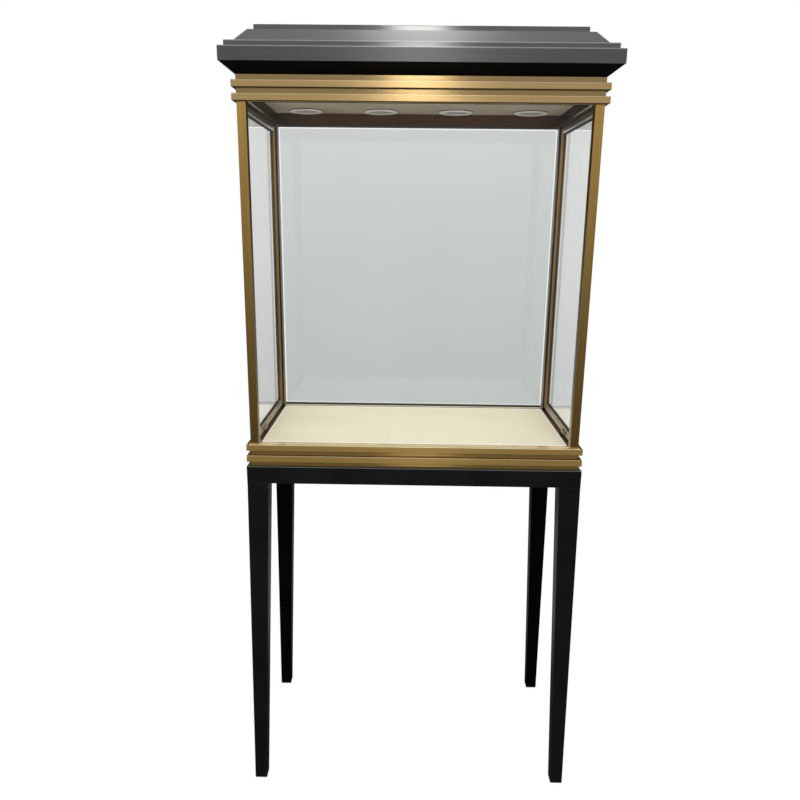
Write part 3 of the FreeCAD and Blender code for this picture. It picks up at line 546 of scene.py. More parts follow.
def outline_edge(edge):
    """True for an edge where a level face meets an upright one."""
    levels = sorted(abs(face.normal.z) for face in edge.link_faces)
    return len(levels) == 2 and levels[0] < STEEP_SHARE and levels[1] > FLAT_SHARE


def every_edge(edge):
    """True for any edge."""
    return True


def looks_down(face):
    """True for a level face on the underside."""
    return face.normal.z < -FLAT_SHARE


def close(piece, material, body):
    """Leaves edit mode, smooths a piece's bends, gives it its finish and lets it ride on a body."""
    if bpy.context.object.mode == "EDIT":
        bpy.ops.object.mode_set(mode="OBJECT")
    bpy.ops.object.shade_smooth_by_angle(angle=SMOOTH_ANGLE)
    flats = piece.modifiers.new("flats", "WEIGHTED_NORMAL")
    flats.keep_sharp = True
    bpy.ops.object.modifier_apply(modifier=flats.name)
    piece.data.materials.clear()
    piece.data.materials.append(material)
    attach(piece, body)


floor_low, floor_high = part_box("floor_panel")
leatherette, tree, shader = finish("cream_leatherette")
cloud = noise(tree, CREAM_PER_METRE)
cream = two_tone(tree, cloud, CREAM_STOP_SHARES, LEATHERETTE_SHADE, LEATHERETTE_CREAM)
place = axes(tree)
side_rim, end_rim = RIM_WIDTHS
within_x = nearer(tree, place["X"], floor_high.x - side_rim)
within = both(tree, within_x, nearer(tree, place["Y"], floor_high.y - end_rim))
# The paler rim along the edges is a painted highlight.
tree.links.new(laid_over(tree, within, LEATHERETTE_RIM_HIGHLIGHT, cream), shader.inputs["Base Color"])
settings(shader, Roughness=LEATHERETTE_ROUGHNESS, Specular_IOR_Level=LEATHERETTE_GLOSS)
relief(tree, shader, noise(tree, even(PEBBLE_PER_METRE), detail=4), PEBBLE_DEPTH)

wood_grain, tree, shader = finish("bare_softwood")
grain = noise(tree, (GRAIN_RUN_PER_METRE, GRAIN_PER_METRE, GRAIN_PER_METRE), detail=5)
wood = two_tone(tree, grain, GRAIN_STOP_SHARES, PLYWOOD_DARK, PLYWOOD_PALE)
tree.links.new(wood, shader.inputs["Base Color"])
settings(shader, Roughness=WOOD_ROUGHNESS)
relief(tree, shader, grain, GRAIN_DEPTH)

board_z = floor_high.z - BOARD_THICKNESS
cover = block("leatherette_cover", (floor_low.x, floor_low.y, board_z), floor_high)
pick(cover, "EDGE", upright_edge)
bpy.ops.mesh.bevel(offset=COVER_RADIUS, segments=COVER_SEGMENTS)
pick(cover, "FACE", looks_down)
bpy.ops.mesh.inset(thickness=FLAP_WIDTH)
bpy.ops.mesh.delete(type="FACE")
pick(cover, "EDGE", outline_edge)
bpy.ops.mesh.bevel(offset=COVER_RADIUS, segments=COVER_SEGMENTS)
bpy.ops.object.mode_set(mode="OBJECT")
skin = cover.modifiers.new("skin", "SOLIDIFY")
skin.thickness = COVER_THICKNESS
skin.offset = -1
bpy.ops.object.modifier_apply(modifier=skin.name)
close(cover, leatherette, "cabinet")
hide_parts("floor_panel")

inset = Vector((COVER_THICKNESS, COVER_THICKNESS, COVER_THICKNESS))
board = block("floor_board", Vector((floor_low.x, floor_low.y, board_z)) + inset, floor_high - inset)
pick(board, "EDGE", every_edge)
bpy.ops.mesh.bevel(offset=COVER_THICKNESS, segments=CHAMFER_SEGMENTS)
close(board, wood_grain, "cabinet")
for name, middle_x in BATTEN_PLACES.items():
    batten_low = (middle_x - BATTEN_WIDTH / 2, floor_low.y, floor_low.z)
    batten_high = (middle_x + BATTEN_WIDTH / 2, floor_high.y, board_z)
    batten = block(f"floor_batten_{name}", batten_low, batten_high)
    pick(batten, "EDGE", every_edge)
    bpy.ops.mesh.bevel(offset=BATTEN_CHAMFER, segments=CHAMFER_SEGMENTS)
    close(batten, wood_grain, "cabinet")


# Posts: square gold bars, brushed upright, with a groove for each fixed pane. Two bolts hold each
# post between the base bars and the frieze. Grey glazing tape lines the rear posts beside the pane.
# The sides that face into the case are painted dark as shade, and the front posts' inner sides turn
# pale grey low down, fading upward.
POST_GOLD = (0.42, 0.262, 0.076)
POST_CONTRAST_SHARE = 0.17
POST_INSIDE_SHADE = (0.085, 0.058, 0.032, 1)
POST_LOW_GREY = (0.60, 0.55, 0.48, 1)
POST_GREY_HEIGHTS = (0.95, 1.45)
TAPE_GREY = (0.42, 0.38, 0.34, 1)
TAPE_WIDTH = 0.0032


def post_inside(tree, place):
    """1 on the sides of a post that look into the case."""
    return math_node(tree, "MAXIMUM", *beside_case(tree, place))


def paler_low(tree, place):
    """On the inner side of a front post, from 1 low down to 0 high up."""
    front = math_node(tree, "LESS_THAN", place["Y"], 0)
    low, high = POST_GREY_HEIGHTS
    return both(tree, beside_case(tree, place)[0], front, spread(tree, place["Z"], 1, 0, start=low, end=high))


def taped(tree, place):
    """1 on a rear post along its pane."""
    rear = math_node(tree, "GREATER_THAN", place["Y"], 0)
    return both(tree, nearer(tree, place["X"], CASE_X + TAPE_WIDTH), rear)


# Painted shade on the posts' inner sides; the front posts' inner sides turn pale grey low down.
post_casts = (
    (post_inside, POST_INSIDE_SHADE, INSIDE_GLOSS_SHARE),
    (paler_low, POST_LOW_GREY, 1),
    (taped, TAPE_GREY, 1),
)
gold_post = gold("post_gold", UPRIGHT, POST_GOLD, POST_CONTRAST_SHARE, casts=post_casts)
dress(gold_post, *[f"post_{corner}" for corner in CORNERS])


# Fixed panes at the front and rear: 6 mm float glass with polished edges, set in the posts' grooves.
# The front pane is coated against reflections. The rear pane carries a grey-green cast that is a painted
# reflection, deeper low down and paler at its foot, with clear edges at its sides and top.
FRONT_TINT = (0.985, 0.985, 0.985, 1)
REAR_LOW_REFLECTION_TINT = (0.52, 0.555, 0.54, 1)
REAR_HIGH_REFLECTION_TINT = (0.66, 0.69, 0.675, 1)
EDGE_TINT = (0.97, 0.975, 0.972, 1)
REAR_EDGE_X = 0.3580
REAR_EDGE_Z = 1.6398
REAR_FOOT_REFLECTION_TINT = (0.68, 0.71, 0.69, 1)
REAR_FOOT_Z = 0.9162
REAR_LOW_Z = 0.93
SMEAR_PER_METRE = (5, 5, 2)
SMEAR_WEIGHT_SHARE = 0.3
FLOAT_IOR = 1.45
COATED_IOR = 1.24


def either_shader(tree, factor, first, second):
    """The first shader where a factor is 0, and the second where it is 1."""
    mix = tree.nodes.new("ShaderNodeMixShader")
    feed(tree, mix.inputs["Fac"], factor)
    tree.links.new(first, mix.inputs[1])
    tree.links.new(second, mix.inputs[2])
    return mix.outputs["Shader"]


def sheet_glass(name, tint, bending, paint=None):
    """Clear glass that lets lamplight through to what stands behind it."""
    material, tree, shader = finish(name)
    settings(shader, Base_Color=tint, Roughness=0, IOR=bending, Transmission_Weight=1)
    clear = tree.nodes.new("ShaderNodeBsdfTransparent")
    clear.inputs["Color"].default_value = tint
    if paint:
        cast = paint(tree)
        tree.links.new(cast, shader.inputs["Base Color"])
        tree.links.new(cast, clear.inputs["Color"])
    ray = tree.nodes.new("ShaderNodeLightPath")
    surface = either_shader(tree, ray.outputs["Is Shadow Ray"], shader.outputs["BSDF"], clear.outputs["BSDF"])
    tree.links.new(surface, tree.nodes["Material Output"].inputs["Surface"])
    return material


def rear_painted_reflection(tree):
    """A painted reflection: deeper low down, cloudy, clear beside the posts and under the header, and paler
    over the sill.
    """
    place = axes(tree)
    height = spread(tree, place["Z"], 0, 1, start=REAR_LOW_Z, end=REAR_EDGE_Z)
    smeared_reflection = between(tree, SMEAR_WEIGHT_SHARE, height, noise(tree, SMEAR_PER_METRE))
    # The cloudy grey-green cast is a painted reflection.
    cast = laid_over(tree, smeared_reflection, REAR_LOW_REFLECTION_TINT, REAR_HIGH_REFLECTION_TINT)
    beside = math_node(tree, "SUBTRACT", 1, nearer(tree, place["X"], REAR_EDGE_X))
    edges = math_node(tree, "MAXIMUM", beside, higher(tree, place, REAR_EDGE_Z))
    foot = laid_over(tree, lower(tree, place, REAR_FOOT_Z), cast, REAR_FOOT_REFLECTION_TINT)
    return laid_over(tree, edges, foot, EDGE_TINT)


dress(sheet_glass("front_sheet_glass", FRONT_TINT, COATED_IOR), "front_glass")
dress(sheet_glass("rear_sheet_glass", REAR_HIGH_REFLECTION_TINT, FLOAT_IOR, rear_painted_reflection), "rear_glass")


# Gaskets: extruded rubber channels that hold the panes in their grooves, black at the rear and in
# the doors. The strips under and over the front pane are coloured pale gold, a painted highlight in line with
# the sill.
RUBBER_BLACK = (0.026, 0.022, 0.018, 1)
RUBBER_BLOOM = (0.042, 0.036, 0.030, 1)
RUBBER_HIGHLIGHT_GOLD = (0.76, 0.62, 0.37, 1)
RUBBER_ROUGHNESS = 0.7
RUBBER_PER_METRE = 160
RUBBER_STOP_SHARES = (0.4, 0.8)

rubber, tree, shader = finish("extruded_rubber")
bloom = noise(tree, even(RUBBER_PER_METRE), detail=3)
black = two_tone(tree, bloom, RUBBER_STOP_SHARES, RUBBER_BLACK, RUBBER_BLOOM)
front_strip = math_node(tree, "LESS_THAN", axes(tree)["Y"], -CASE_Y)
# The pale gold front strips are a painted highlight.
tree.links.new(laid_over(tree, front_strip, black, RUBBER_HIGHLIGHT_GOLD), shader.inputs["Base Color"])
settings(shader, Roughness=RUBBER_ROUGHNESS)
dress(rubber, "glass_gaskets", "left_door_gasket", "right_door_gasket", "lighting_cables")


# Frieze bars: gold extrusions over the glass, anodised a little paler than the base, with a deep
# header that shows inside. The neck and the channel between the bands lie back and are smoother, with
# painted shade darkening them; the faces inside the case and the undersides are painted dark as shade,
# the undersides nearly black and without metal sheen; and the bands' upper edges and the header's
# lower edge carry painted highlights.
FRIEZE_GOLD = (0.53, 0.365, 0.165)
FRIEZE_ROUGHNESS = 0.29
FRIEZE_RECESS_ROUGHNESS = 0.205
FRIEZE_RECESS_SHADE_SHARE = 0.60
FRIEZE_EDGE_HIGHLIGHT = (0.80, 0.60, 0.33, 1)
FRIEZE_EDGE_HEIGHTS = (1.6614, 1.6874)
FRIEZE_UNDER_SHADE = (0.050, 0.032, 0.014, 1)
HEADER_EDGE_HIGHLIGHT = (1.0, 0.90, 0.76, 1)
HEADER_EDGE_WIDTH = 0.0042
HEADER_EDGE_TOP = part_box("frieze_front")[0].z + HEADER_EDGE_WIDTH


def underside(tree, place):
    """1 on a level face that looks down."""
    return math_node(tree, "LESS_THAN", tilt(tree), -LEVEL_SHARE)


def header_edge(tree, place):
    """1 along the header's lower edge inside the case."""
    upright = math_node(tree, "GREATER_THAN", tilt(tree), -LEVEL_SHARE)
    return both(tree, in_case(tree, place), lower(tree, place, HEADER_EDGE_TOP), upright)


# Painted shade in the recesses, inside the case and on the undersides; painted highlights on the bands' upper
# edges and the header's lower edge.
frieze_casts = (
    (recessed, tone(FRIEZE_GOLD, FRIEZE_RECESS_SHADE_SHARE), 1),
    (band_edges(*FRIEZE_EDGE_HEIGHTS), FRIEZE_EDGE_HIGHLIGHT, 1),
    (in_case, GOLD_INSIDE_SHADE, INSIDE_GLOSS_SHARE),
    (underside, FRIEZE_UNDER_SHADE, DULL_GLOSS_SHARE),
)
side_casts = frieze_casts + ((header_edge, HEADER_EDGE_HIGHLIGHT, 1),)
frieze_look = {
    "metal": FRIEZE_GOLD,
    "roughness": FRIEZE_ROUGHNESS,
    "smooth": (recessed, FRIEZE_RECESS_ROUGHNESS),
    "dull": underside,
}
across = gold("frieze_gold_across", ALONG_X, casts=frieze_casts, **frieze_look)
fore_and_aft = gold("frieze_gold_fore_and_aft", ALONG_Y, casts=side_casts, **frieze_look)
dress(across, "frieze_front", "frieze_rear")
dress(fore_and_aft, "frieze_left", "frieze_right")


# Ceiling: a steel sheet painted satin bronze and laid on the headers, with four lamp holes
# punched along its rear half.
BRONZE_DARK = (0.34, 0.285, 0.205, 1)
BRONZE_PALE = (0.46, 0.395, 0.290, 1)
BRONZE_ROUGHNESS = 0.4
BRONZE_PER_METRE = 14
CLOUD_STOP_SHARES = (0.3, 0.7)

bronze_sheet, tree, shader = finish("satin_bronze_paint")
cloud = noise(tree, even(BRONZE_PER_METRE), detail=3)
bronze = two_tone(tree, cloud, CLOUD_STOP_SHARES, BRONZE_DARK, BRONZE_PALE)
tree.links.new(bronze, shader.inputs["Base Color"])
settings(shader, Roughness=BRONZE_ROUGHNESS)
relief(tree, shader, noise(tree, even(PEEL_PER_METRE)), PEEL_DEPTH)
dress(bronze_sheet, "ceiling_panel")


# Downlights: spun rings painted white, with painted shade on the turned-up rim that meets the ceiling,
# and cast housings with cooling fins above it.
TRIM_WHITE = (0.74, 0.72, 0.66, 1)
TRIM_GREY = (0.64, 0.62, 0.57, 1)
TRIM_RIM_SHADE = (0.055, 0.047, 0.038, 1)
TRIM_ROUGHNESS = 0.35
TRIM_PER_METRE = 40
TRIM_STOP_SHARES = (0.3, 0.6)
TRIM_FACE_DEPTH = 0.0020
CAST_ROUGHNESS = 0.5

white_trim, tree, shader = finish("white_trim_paint")
cloud = noise(tree, even(TRIM_PER_METRE), detail=3)
painted = two_tone(tree, cloud, TRIM_STOP_SHARES, TRIM_GREY, TRIM_WHITE)
rim_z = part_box("downlight_trims")[0].z + TRIM_FACE_DEPTH
shaded_rim = higher(tree, axes(tree), rim_z)
# The turned-up rim is painted dark as shade.
tree.links.new(laid_over(tree, shaded_rim, painted, TRIM_RIM_SHADE), shader.inputs["Base Color"])
settings(shader, Roughness=TRIM_ROUGHNESS)
dress(white_trim, "downlight_trims")
cast_aluminium, tree, shader = finish("cast_aluminium")
cloud = noise(tree, even(ZINC_PER_METRE), detail=4)
tree.links.new(two_tone(tree, cloud, CLOUD_STOP_SHARES, ZINC_DULL, ZINC_PALE), shader.inputs["Base Color"])
settings(shader, Metallic=1, Roughness=CAST_ROUGHNESS)
dress(cast_aluminium, "downlight_housings")


# Lenses: frosted acrylic discs, moulded with a flat rim and shallow rings that step up to the
# middle, pressed into the downlights' rings from below.
LENS_PALE = (0.44, 0.43, 0.41, 1)
LENS_GREY = (0.28, 0.27, 0.255, 1)
LENS_ROUGHNESS = 0.5
LENS_SIDES = 64
LENS_RINGS = 6
LENS_RIM_SHARE = 0.12
LENS_RING_SHARE = 0.11
LENS_STEP_SHARE = 0.09
LENS_PER_ROW = 4

frosted, tree, shader = finish("frosted_lens")
cloud = noise(tree, even(TRIM_PER_METRE), detail=3)
tree.links.new(two_tone(tree, cloud, CLOUD_STOP_SHARES, LENS_GREY, LENS_PALE), shader.inputs["Base Color"])
settings(shader, Roughness=LENS_ROUGHNESS)


def copies(piece, name, places):
    """Copies a piece, modelled about the origin, to each place, each with its own mesh, and joins them."""
    for place in places:
        copy = piece.copy()
        copy.data = piece.data.copy()
        copy.data.transform(Matrix.Translation(place))
        bpy.context.collection.objects.link(copy)
        copy.select_set(True)
        bpy.context.view_layer.objects.active = copy
    bpy.data.objects.remove(piece)
    bpy.ops.object.join()
    joined = bpy.context.object
    joined.name = name
    return joined


lens_low, lens_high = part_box("downlight_lenses")
lens_radius = (lens_high.y - lens_low.y) / 2
lens_depth = lens_high.z - lens_low.z
bpy.ops.object.select_all(action="DESELECT")
bpy.ops.mesh.primitive_cylinder_add(vertices=LENS_SIDES, radius=lens_radius, depth=lens_depth)
lens = bpy.context.object
bpy.ops.object.mode_set(mode="EDIT")
pick(lens, "FACE", looks_down)
bpy.ops.mesh.inset(thickness=lens_radius * LENS_RIM_SHARE)
for ring in range(LENS_RINGS):
    bpy.ops.mesh.extrude_region_move(TRANSFORM_OT_translate={"value": (0, 0, lens_depth * LENS_STEP_SHARE)})
    bpy.ops.mesh.inset(thickness=lens_radius * LENS_RING_SHARE)
bpy.ops.object.mode_set(mode="OBJECT")
first = lens_low.x + lens_radius
pitch = (lens_high.x - lens_low.x - 2 * lens_radius) / (LENS_PER_ROW - 1)
middle = (lens_low + lens_high) / 2
lens_places = [(first + i * pitch, middle.y, middle.z) for i in range(LENS_PER_ROW)]
bpy.ops.object.select_all(action="DESELECT")
lenses = copies(lens, "frosted_lenses", lens_places)
close(lenses, frosted, "cabinet")
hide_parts("downlight_lenses")


# Roof: cornice lengths, sloping tray and cap of folded steel, brushed and lacquered graphite grey.
# The flared soffit under the cornice is nearly black and semi-gloss, the broad fascia is duller, and the
# upper lips of the fascia and the riser, like the corners, carry painted highlights.
GRAPHITE = (0.132, 0.130, 0.126)
GRAPHITE_CORNER_HIGHLIGHT = (0.26, 0.255, 0.25, 1)
GRAPHITE_LIP_HIGHLIGHT = (0.33, 0.325, 0.317, 1)
LIP_REACH = 0.0011
GRAPHITE_CONTRAST_SHARE = 0.06
SOFFIT_BLACK = (0.0015, 0.0013, 0.0009, 1)
SOFFIT_GLOSS = 0.10
SOFFIT_HEIGHT = 0.0205
FASCIA_HEIGHT = 0.0490
SOFFIT_ROUGHNESS = 0.30
FASCIA_ROUGHNESS = 0.37
RISER_ROUGHNESS = 0.225
CAP_ROUGHNESS = 0.175
SLOPE_ROUGHNESS = 0.30
SLOPE_STRETCH = 0


def graphite(name, run, roughness=RISER_ROUGHNESS, stretch=BRUSH_STRETCH):
    """Graphite lacquer over hairlines that run along one axis, with a black soffit and painted highlights
    along the corners and the lips.
    """
    material, tree, shader = finish(name)
    colour = brush(tree, shader, run, GRAPHITE, GRAPHITE_CONTRAST_SHARE)[1]
    settings(shader, Anisotropic=stretch)
    # Painted highlights along the corners and the upper lips.
    corner_highlight = laid_over(tree, corners(tree), colour, GRAPHITE_CORNER_HIGHLIGHT)
    place = axes(tree)
    soffit = lower(tree, place, cornice_z + SOFFIT_HEIGHT)
    fascia = lower(tree, place, cornice_z + FASCIA_HEIGHT)
    lip_heights = [top - LIP_REACH for top in (cornice_z + FASCIA_HEIGHT, cornice_top)]
    lips = at_heights(tree, place, lip_heights, LIP_REACH)
    lip_highlighted = laid_over(tree, lips, corner_highlight, GRAPHITE_LIP_HIGHLIGHT)
    tree.links.new(laid_over(tree, soffit, lip_highlighted, SOFFIT_BLACK), shader.inputs["Base Color"])
    tree.links.new(math_node(tree, "SUBTRACT", 1, soffit), shader.inputs["Metallic"])
    settings(shader, Specular_IOR_Level=SOFFIT_GLOSS)
    faces = between(tree, math_node(tree, "MAXIMUM", fascia, lips), roughness, FASCIA_ROUGHNESS)
    tree.links.new(between(tree, soffit, faces, SOFFIT_ROUGHNESS), shader.inputs["Roughness"])
    return material


cornice_z, cornice_top = [corner.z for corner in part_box("cornice_front")]
dress(graphite("graphite_across", ALONG_X), "cornice_front", "cornice_rear")
dress(graphite("graphite_cap", ALONG_X, CAP_ROUGHNESS), "roof_cap")
dress(graphite("graphite_fore_and_aft", ALONG_Y), "cornice_left", "cornice_right")
dress(graphite("graphite_slope", ALONG_X, SLOPE_ROUGHNESS, SLOPE_STRETCH), "hip_roof")


# Roof screws: four zinc plated countersunk screws, flush with the cap, each cold headed with a
# cross recess and a slightly broken edge.
SCREW_SIDES = 40
SCREW_HEAD_RADIUS = 0.004
SCREW_HEAD_HEIGHT = 0.0022
SCREW_SHANK_RADIUS = 0.002
SCREW_EDGE = 0.00025
CROSS_LENGTH = 0.0044
CROSS_WIDTH = 0.0009
CROSS_DEPTH = 0.0014
CROSS_TAPER_SHARE = 0.45

screw_low, screw_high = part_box("roof_cap_screws")
screw_x = screw_high.x - SCREW_HEAD_RADIUS
screw_y = screw_high.y - SCREW_HEAD_RADIUS
shank = screw_high.z - screw_low.z - SCREW_HEAD_HEIGHT
shank_middle = (0, 0, -SCREW_HEAD_HEIGHT - shank / 2)
bpy.ops.object.select_all(action="DESELECT")
bpy.ops.mesh.primitive_cylinder_add(
    vertices=SCREW_SIDES, radius=SCREW_SHANK_RADIUS, depth=shank, location=shank_middle
)
screw = bpy.context.object
bpy.ops.object.transform_apply()
bpy.ops.object.mode_set(mode="EDIT")
pick(screw, "FACE", lambda face: face.normal.z > FLAT_SHARE)
bpy.ops.mesh.extrude_region_move(TRANSFORM_OT_translate={"value": (0, 0, SCREW_HEAD_HEIGHT)})
head_share = SCREW_HEAD_RADIUS / SCREW_SHANK_RADIUS
bpy.ops.transform.resize(value=(head_share, head_share, 1))
bpy.ops.mesh.bevel(offset=SCREW_EDGE, segments=CHAMFER_SEGMENTS)
bpy.ops.object.mode_set(mode="OBJECT")
half_blade = Vector((CROSS_LENGTH, CROSS_WIDTH, 2 * CROSS_DEPTH)) / 2
for quarter in (0, math.pi / 2):
    blade = block("cross_blade", -half_blade, half_blade)
    pick(blade, "FACE", looks_down)
    bpy.ops.transform.resize(value=(CROSS_TAPER_SHARE, CROSS_TAPER_SHARE, 1))
    bpy.ops.object.mode_set(mode="OBJECT")
    blade.data.transform(Matrix.Rotation(quarter, 4, "Z"))
    recess = screw.modifiers.new("cross_recess", "BOOLEAN")
    recess.operation = "DIFFERENCE"
    recess.object = blade
    bpy.context.view_layer.objects.active = screw
    bpy.ops.object.modifier_apply(modifier=recess.name)
    bpy.data.objects.remove(blade)
bpy.ops.object.select_all(action="DESELECT")
screw_places = [(x, y, screw_high.z) for x in (-screw_x, screw_x) for y in (-screw_y, screw_y)]
screws = copies(screw, "roof_cap_cross_screws", screw_places)
close(screws, zinc_plate, "cabinet")
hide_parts("roof_cap_screws")


# Doors: gold frames round a tinted pane, hung on brass bushes pressed into the rear stiles. The panes
# are clear along their front edges and carry painted reflections along their rear ones, a darker band
# and a pale strip. The rails' inner faces are coloured dark above, with a painted highlight along the
# lower edge, and grey-beige in two tones below.
DOORS = ("left", "right")
DOOR_TINT = (0.86, 0.875, 0.868, 1)
DOOR_EDGE_Y = -0.147
REAR_EDGE_DARK_REFLECTION = (0.48, 0.49, 0.48, 1)
DARK_REFLECTION_START_Y = 0.090
PALE_REFLECTION_START_Y = 0.118
REAR_EDGE_PALE_REFLECTION = (0.77, 0.75, 0.69, 1)
RAIL_X = 0.3686
RAIL_STEP_Z = 0.9185
RAIL_EDGE_Z = 1.6328
CASE_MIDDLE_Z = 1.2775
RAIL_FOOT = (0.66, 0.57, 0.46, 1)
RAIL_GREY = (0.36, 0.31, 0.25, 1)
RAIL_DARK = (0.38, 0.32, 0.265, 1)
RAIL_GLOSS_SHARE = 0.5
RAIL_EDGE_HIGHLIGHT = (0.95, 0.90, 0.85, 1)
BRASS_PALE = (0.56, 0.45, 0.26, 1)
BRASS_DULL = (0.38, 0.29, 0.15, 1)
BRASS_ROUGHNESS = 0.38
BRASS_CORNER_SHADE = (0.05, 0.035, 0.018, 1)


def door_tint_and_reflections(tree):
    """The door's own tint, with a clear line along the front edge and painted reflections, a darker band and
    a pale strip, along the rear one.
    """
    along = axes(tree)["Y"]
    front_edge = math_node(tree, "LESS_THAN", along, DOOR_EDGE_Y)
    # A darker band and a pale strip along the rear edge are painted reflections.
    ground = laid_over(tree, math_node(tree, "GREATER_THAN", along, DARK_REFLECTION_START_Y), DOOR_TINT, REAR_EDGE_DARK_REFLECTION)
    reflected = laid_over(tree, math_node(tree, "GREATER_THAN", along, PALE_REFLECTION_START_Y), ground, REAR_EDGE_PALE_REFLECTION)
    return laid_over(tree, front_edge, reflected, EDGE_TINT)


def rail_face(low, high):
    """A mask for the faces of the rails that look into the case, between two heights."""

    def mask(tree, place):
        inner = nearer(tree, place["X"], RAIL_X)
        return both(tree, inner, higher(tree, place, low), lower(tree, place, high))

    return mask


rail_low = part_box("left_door_bottom_rail")[0].z
rail_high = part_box("left_door_top_rail")[1].z
# A painted highlight along the top rail's lower edge.
rail_casts = (
    (rail_face(rail_low, RAIL_STEP_Z), RAIL_FOOT, 1),
    (rail_face(RAIL_STEP_Z, CASE_MIDDLE_Z), RAIL_GREY, 1),
    (rail_face(CASE_MIDDLE_Z, rail_high), RAIL_DARK, RAIL_GLOSS_SHARE),
    (rail_face(CASE_MIDDLE_Z, RAIL_EDGE_Z), RAIL_EDGE_HIGHLIGHT, 1),
)
gold_stile = gold("door_stile_gold", UPRIGHT, POST_GOLD, POST_CONTRAST_SHARE)
gold_rail = gold("door_rail_gold", ALONG_Y, POST_GOLD, casts=rail_casts)
door_pane = sheet_glass("door_sheet_glass", DOOR_TINT, FLOAT_IOR, door_tint_and_reflections)
satin_brass, tree, shader = finish("satin_brass")
cloud = noise(tree, even(ZINC_PER_METRE), detail=4)
brass = two_tone(tree, cloud, CLOUD_STOP_SHARES, BRASS_DULL, BRASS_PALE)
# The brass's corners are painted dark as shade.
tree.links.new(laid_over(tree, corners(tree), brass, BRASS_CORNER_SHADE), shader.inputs["Base Color"])
settings(shader, Metallic=1, Roughness=BRASS_ROUGHNESS)
for door in DOORS:
    dress(gold_stile, f"{door}_door_front_stile", f"{door}_door_rear_stile")
    dress(gold_rail, f"{door}_door_top_rail", f"{door}_door_bottom_rail")
    dress(door_pane, f"{door}_door_glass")
    dress(satin_brass, f"{door}_door_bushes")


# Locks: a chromed barrel through each bottom rail, with a keyed plug that turns a satin brass cam
# down into the sill. The brass is painted darker along its corners, as shade.
CHROME = (0.70, 0.70, 0.71, 1)
CHROME_DULL = (0.52, 0.52, 0.53, 1)
CHROME_ROUGHNESS = 0.16

chrome, tree, shader = finish("lock_chrome")
cloud = noise(tree, even(ZINC_PER_METRE), detail=4)
tree.links.new(two_tone(tree, cloud, TRIM_STOP_SHARES, CHROME_DULL, CHROME), shader.inputs["Base Color"])
settings(shader, Metallic=1, Roughness=CHROME_ROUGHNESS)
for door in DOORS:
    dress(chrome, f"{door}_lock_barrel")
    dress(satin_brass, f"{door}_lock_cam")


# Studio: a pale floor under a white dome with no visible horizon. The dome is white behind the cabinet,
# and metal sees it fade, towards the camera, from bright overhead to dark below.
FLOOR_SPAN = 3.2
FLOOR_PALE = (0.90, 0.90, 0.90, 1)
FLOOR_ROUGHNESS = 0.9
BACKDROP_SHARE = 0.93
FLOOR_MIRRORED = (0.05, 0.45)
FLOOR_FADE_Y = (0.25, 0.60)
DOME_AMBIENT = 1.08
FRONT_STOPS = (
    (-1, 0.02),
    (-0.45, 0.04),
    (-0.27, 0.055),
    (-0.17, 0.18),
    (-0.075, 0.34),
    (0.12, 0.80),
    (1, 0.92),
)
BACK_STOPS = ((-1, 0.03), (-0.34, 0.05), (-0.22, 0.66), (-0.05, 0.90), (1, 0.95))
SIDE_BLEND = 0.2


def straight_ray(tree):
    """1 for rays that come straight or through glass, and 1 for those that no matt face scattered."""
    ray = tree.nodes.new("ShaderNodeLightPath")
    scattered = ray.outputs["Diffuse Depth"]
    bounces = math_node(tree, "ADD", ray.outputs["Glossy Depth"], scattered)
    return math_node(tree, "LESS_THAN", bounces, 1), math_node(tree, "LESS_THAN", scattered, 1)


def glow(tree, strength):
    """A plain white glow."""
    light = tree.nodes.new("ShaderNodeEmission")
    feed(tree, light.inputs["Strength"], strength)
    return light.outputs["Emission"]


bpy.ops.object.select_all(action="DESELECT")
bpy.ops.mesh.primitive_plane_add(size=FLOOR_SPAN)
studio_floor = bpy.context.object
studio_floor.name = "studio_floor"
floor_paper, tree, shader = finish("pale_floor_paper")
settings(shader, Base_Color=FLOOR_PALE, Roughness=FLOOR_ROUGHNESS, Specular_IOR_Level=0)
straight, mirrored = straight_ray(tree)
paper = shader.outputs["BSDF"]
fade = spread(tree, axes(tree)["Y"], *FLOOR_MIRRORED, *FLOOR_FADE_Y)
bounced = either_shader(tree, mirrored, paper, glow(tree, fade))
seen = either_shader(tree, BACKDROP_SHARE, paper, glow(tree, 1))
surface = either_shader(tree, straight, bounced, seen)
tree.links.new(surface, tree.nodes["Material Output"].inputs["Surface"])
studio_floor.data.materials.append(floor_paper)

world = bpy.data.worlds.new("white_dome")
world.use_nodes = True
bpy.context.scene.world = world
tree = world.node_tree
dome = tree.nodes["Background"]
way = tree.nodes.new("ShaderNodeSeparateXYZ")
tree.links.new(tree.nodes.new("ShaderNodeTexCoord").outputs["Generated"], way.inputs["Vector"])
height = spread(tree, way.outputs["Z"], 0, 1, start=-1)
front_half, back_half = [
    shades(tree, height, *[((z + 1) / 2, (level, level, level, 1)) for z, level in stops])
    for stops in (FRONT_STOPS, BACK_STOPS)
]
straight, mirrored = straight_ray(tree)
behind = spread(tree, way.outputs["Y"], 0, 1, start=-SIDE_BLEND, end=SIDE_BLEND)
bounced = between(tree, mirrored, DOME_AMBIENT, between(tree, behind, front_half, back_half))
tree.links.new(between(tree, straight, bounced, 1), dome.inputs["Strength"])
settings(dome, Color=tone(WHITE, 1))


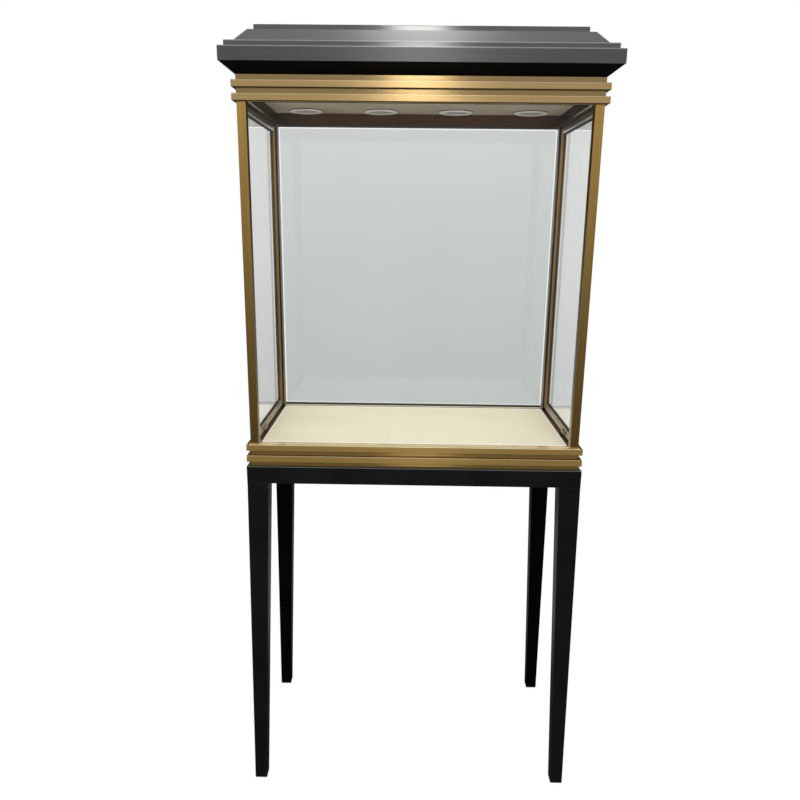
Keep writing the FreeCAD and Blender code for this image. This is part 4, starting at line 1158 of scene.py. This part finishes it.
# Lamps: three small ones that metal mirrors as streaks, one over the floor of the case and one broad one
# in front. Each row gives a place, a target, a width and depth, a power in watts, and whether metal
# mirrors the lamp.
LAMPS = {
    "key": ((0.01, -1.90, 2.18), (0, 0, 1.70), (0.22, 0.40), 2.35, True),
    "overhead": ((0.02, 0.43, 3.12), (0, -0.20, 1.77), (0.30, 0.30), 9.5, True),
    "low": ((0.05, -1.95, 0.38), (0, -0.20, 0.88), (0.28, 0.20), 0.2, True),
    "case": ((0, 0.09, 1.665), (0, 0.09, 0.90), (0.64, 0.16), 1.9, False),
    "front": ((0, -2.60, 2.10), (0, 0, 1.10), (2.40, 1.40), 63, False),
}
for name, (place, target, (width, depth), watts, mirrored) in LAMPS.items():
    aim = (Vector(target) - Vector(place)).to_track_quat("-Z", "Y").to_euler()
    bpy.ops.object.light_add(type="AREA", location=place, rotation=aim)
    lamp = bpy.context.object
    lamp.name = f"{name}_lamp"
    lamp.data.shape = "RECTANGLE"
    lamp.data.size = width
    lamp.data.size_y = depth
    lamp.data.energy = watts
    lamp.visible_camera = False
    lamp.visible_transmission = False
    lamp.visible_glossy = mirrored


# Camera: a little left of the middle, at chest height and tipped down. Its lens axis lies below the
# middle of the frame.
CAMERA_PLACE = (-0.020356, -1.944455, 1.409839)
CAMERA_YAW = -0.01272
CAMERA_PITCH = -0.27488
CAMERA_ROLL = 0.01109
CAMERA_LENS = 34.836
CAMERA_SENSOR = 36
CAMERA_SHIFT = (0.00503, 0.04999)

heading = Matrix.Rotation(-CAMERA_YAW, 3, "Z")
pitched = Matrix.Rotation(math.pi / 2 + CAMERA_PITCH, 3, "X")
rolled = Matrix.Rotation(CAMERA_ROLL, 3, "Z")
bpy.ops.object.camera_add(location=CAMERA_PLACE, rotation=(heading @ pitched @ rolled).to_euler())
camera = bpy.context.object
camera.data.lens = CAMERA_LENS
camera.data.sensor_width = CAMERA_SENSOR
camera.data.shift_x, camera.data.shift_y = CAMERA_SHIFT
bpy.context.scene.camera = camera
bpy.context.scene.view_settings.view_transform = "Standard"
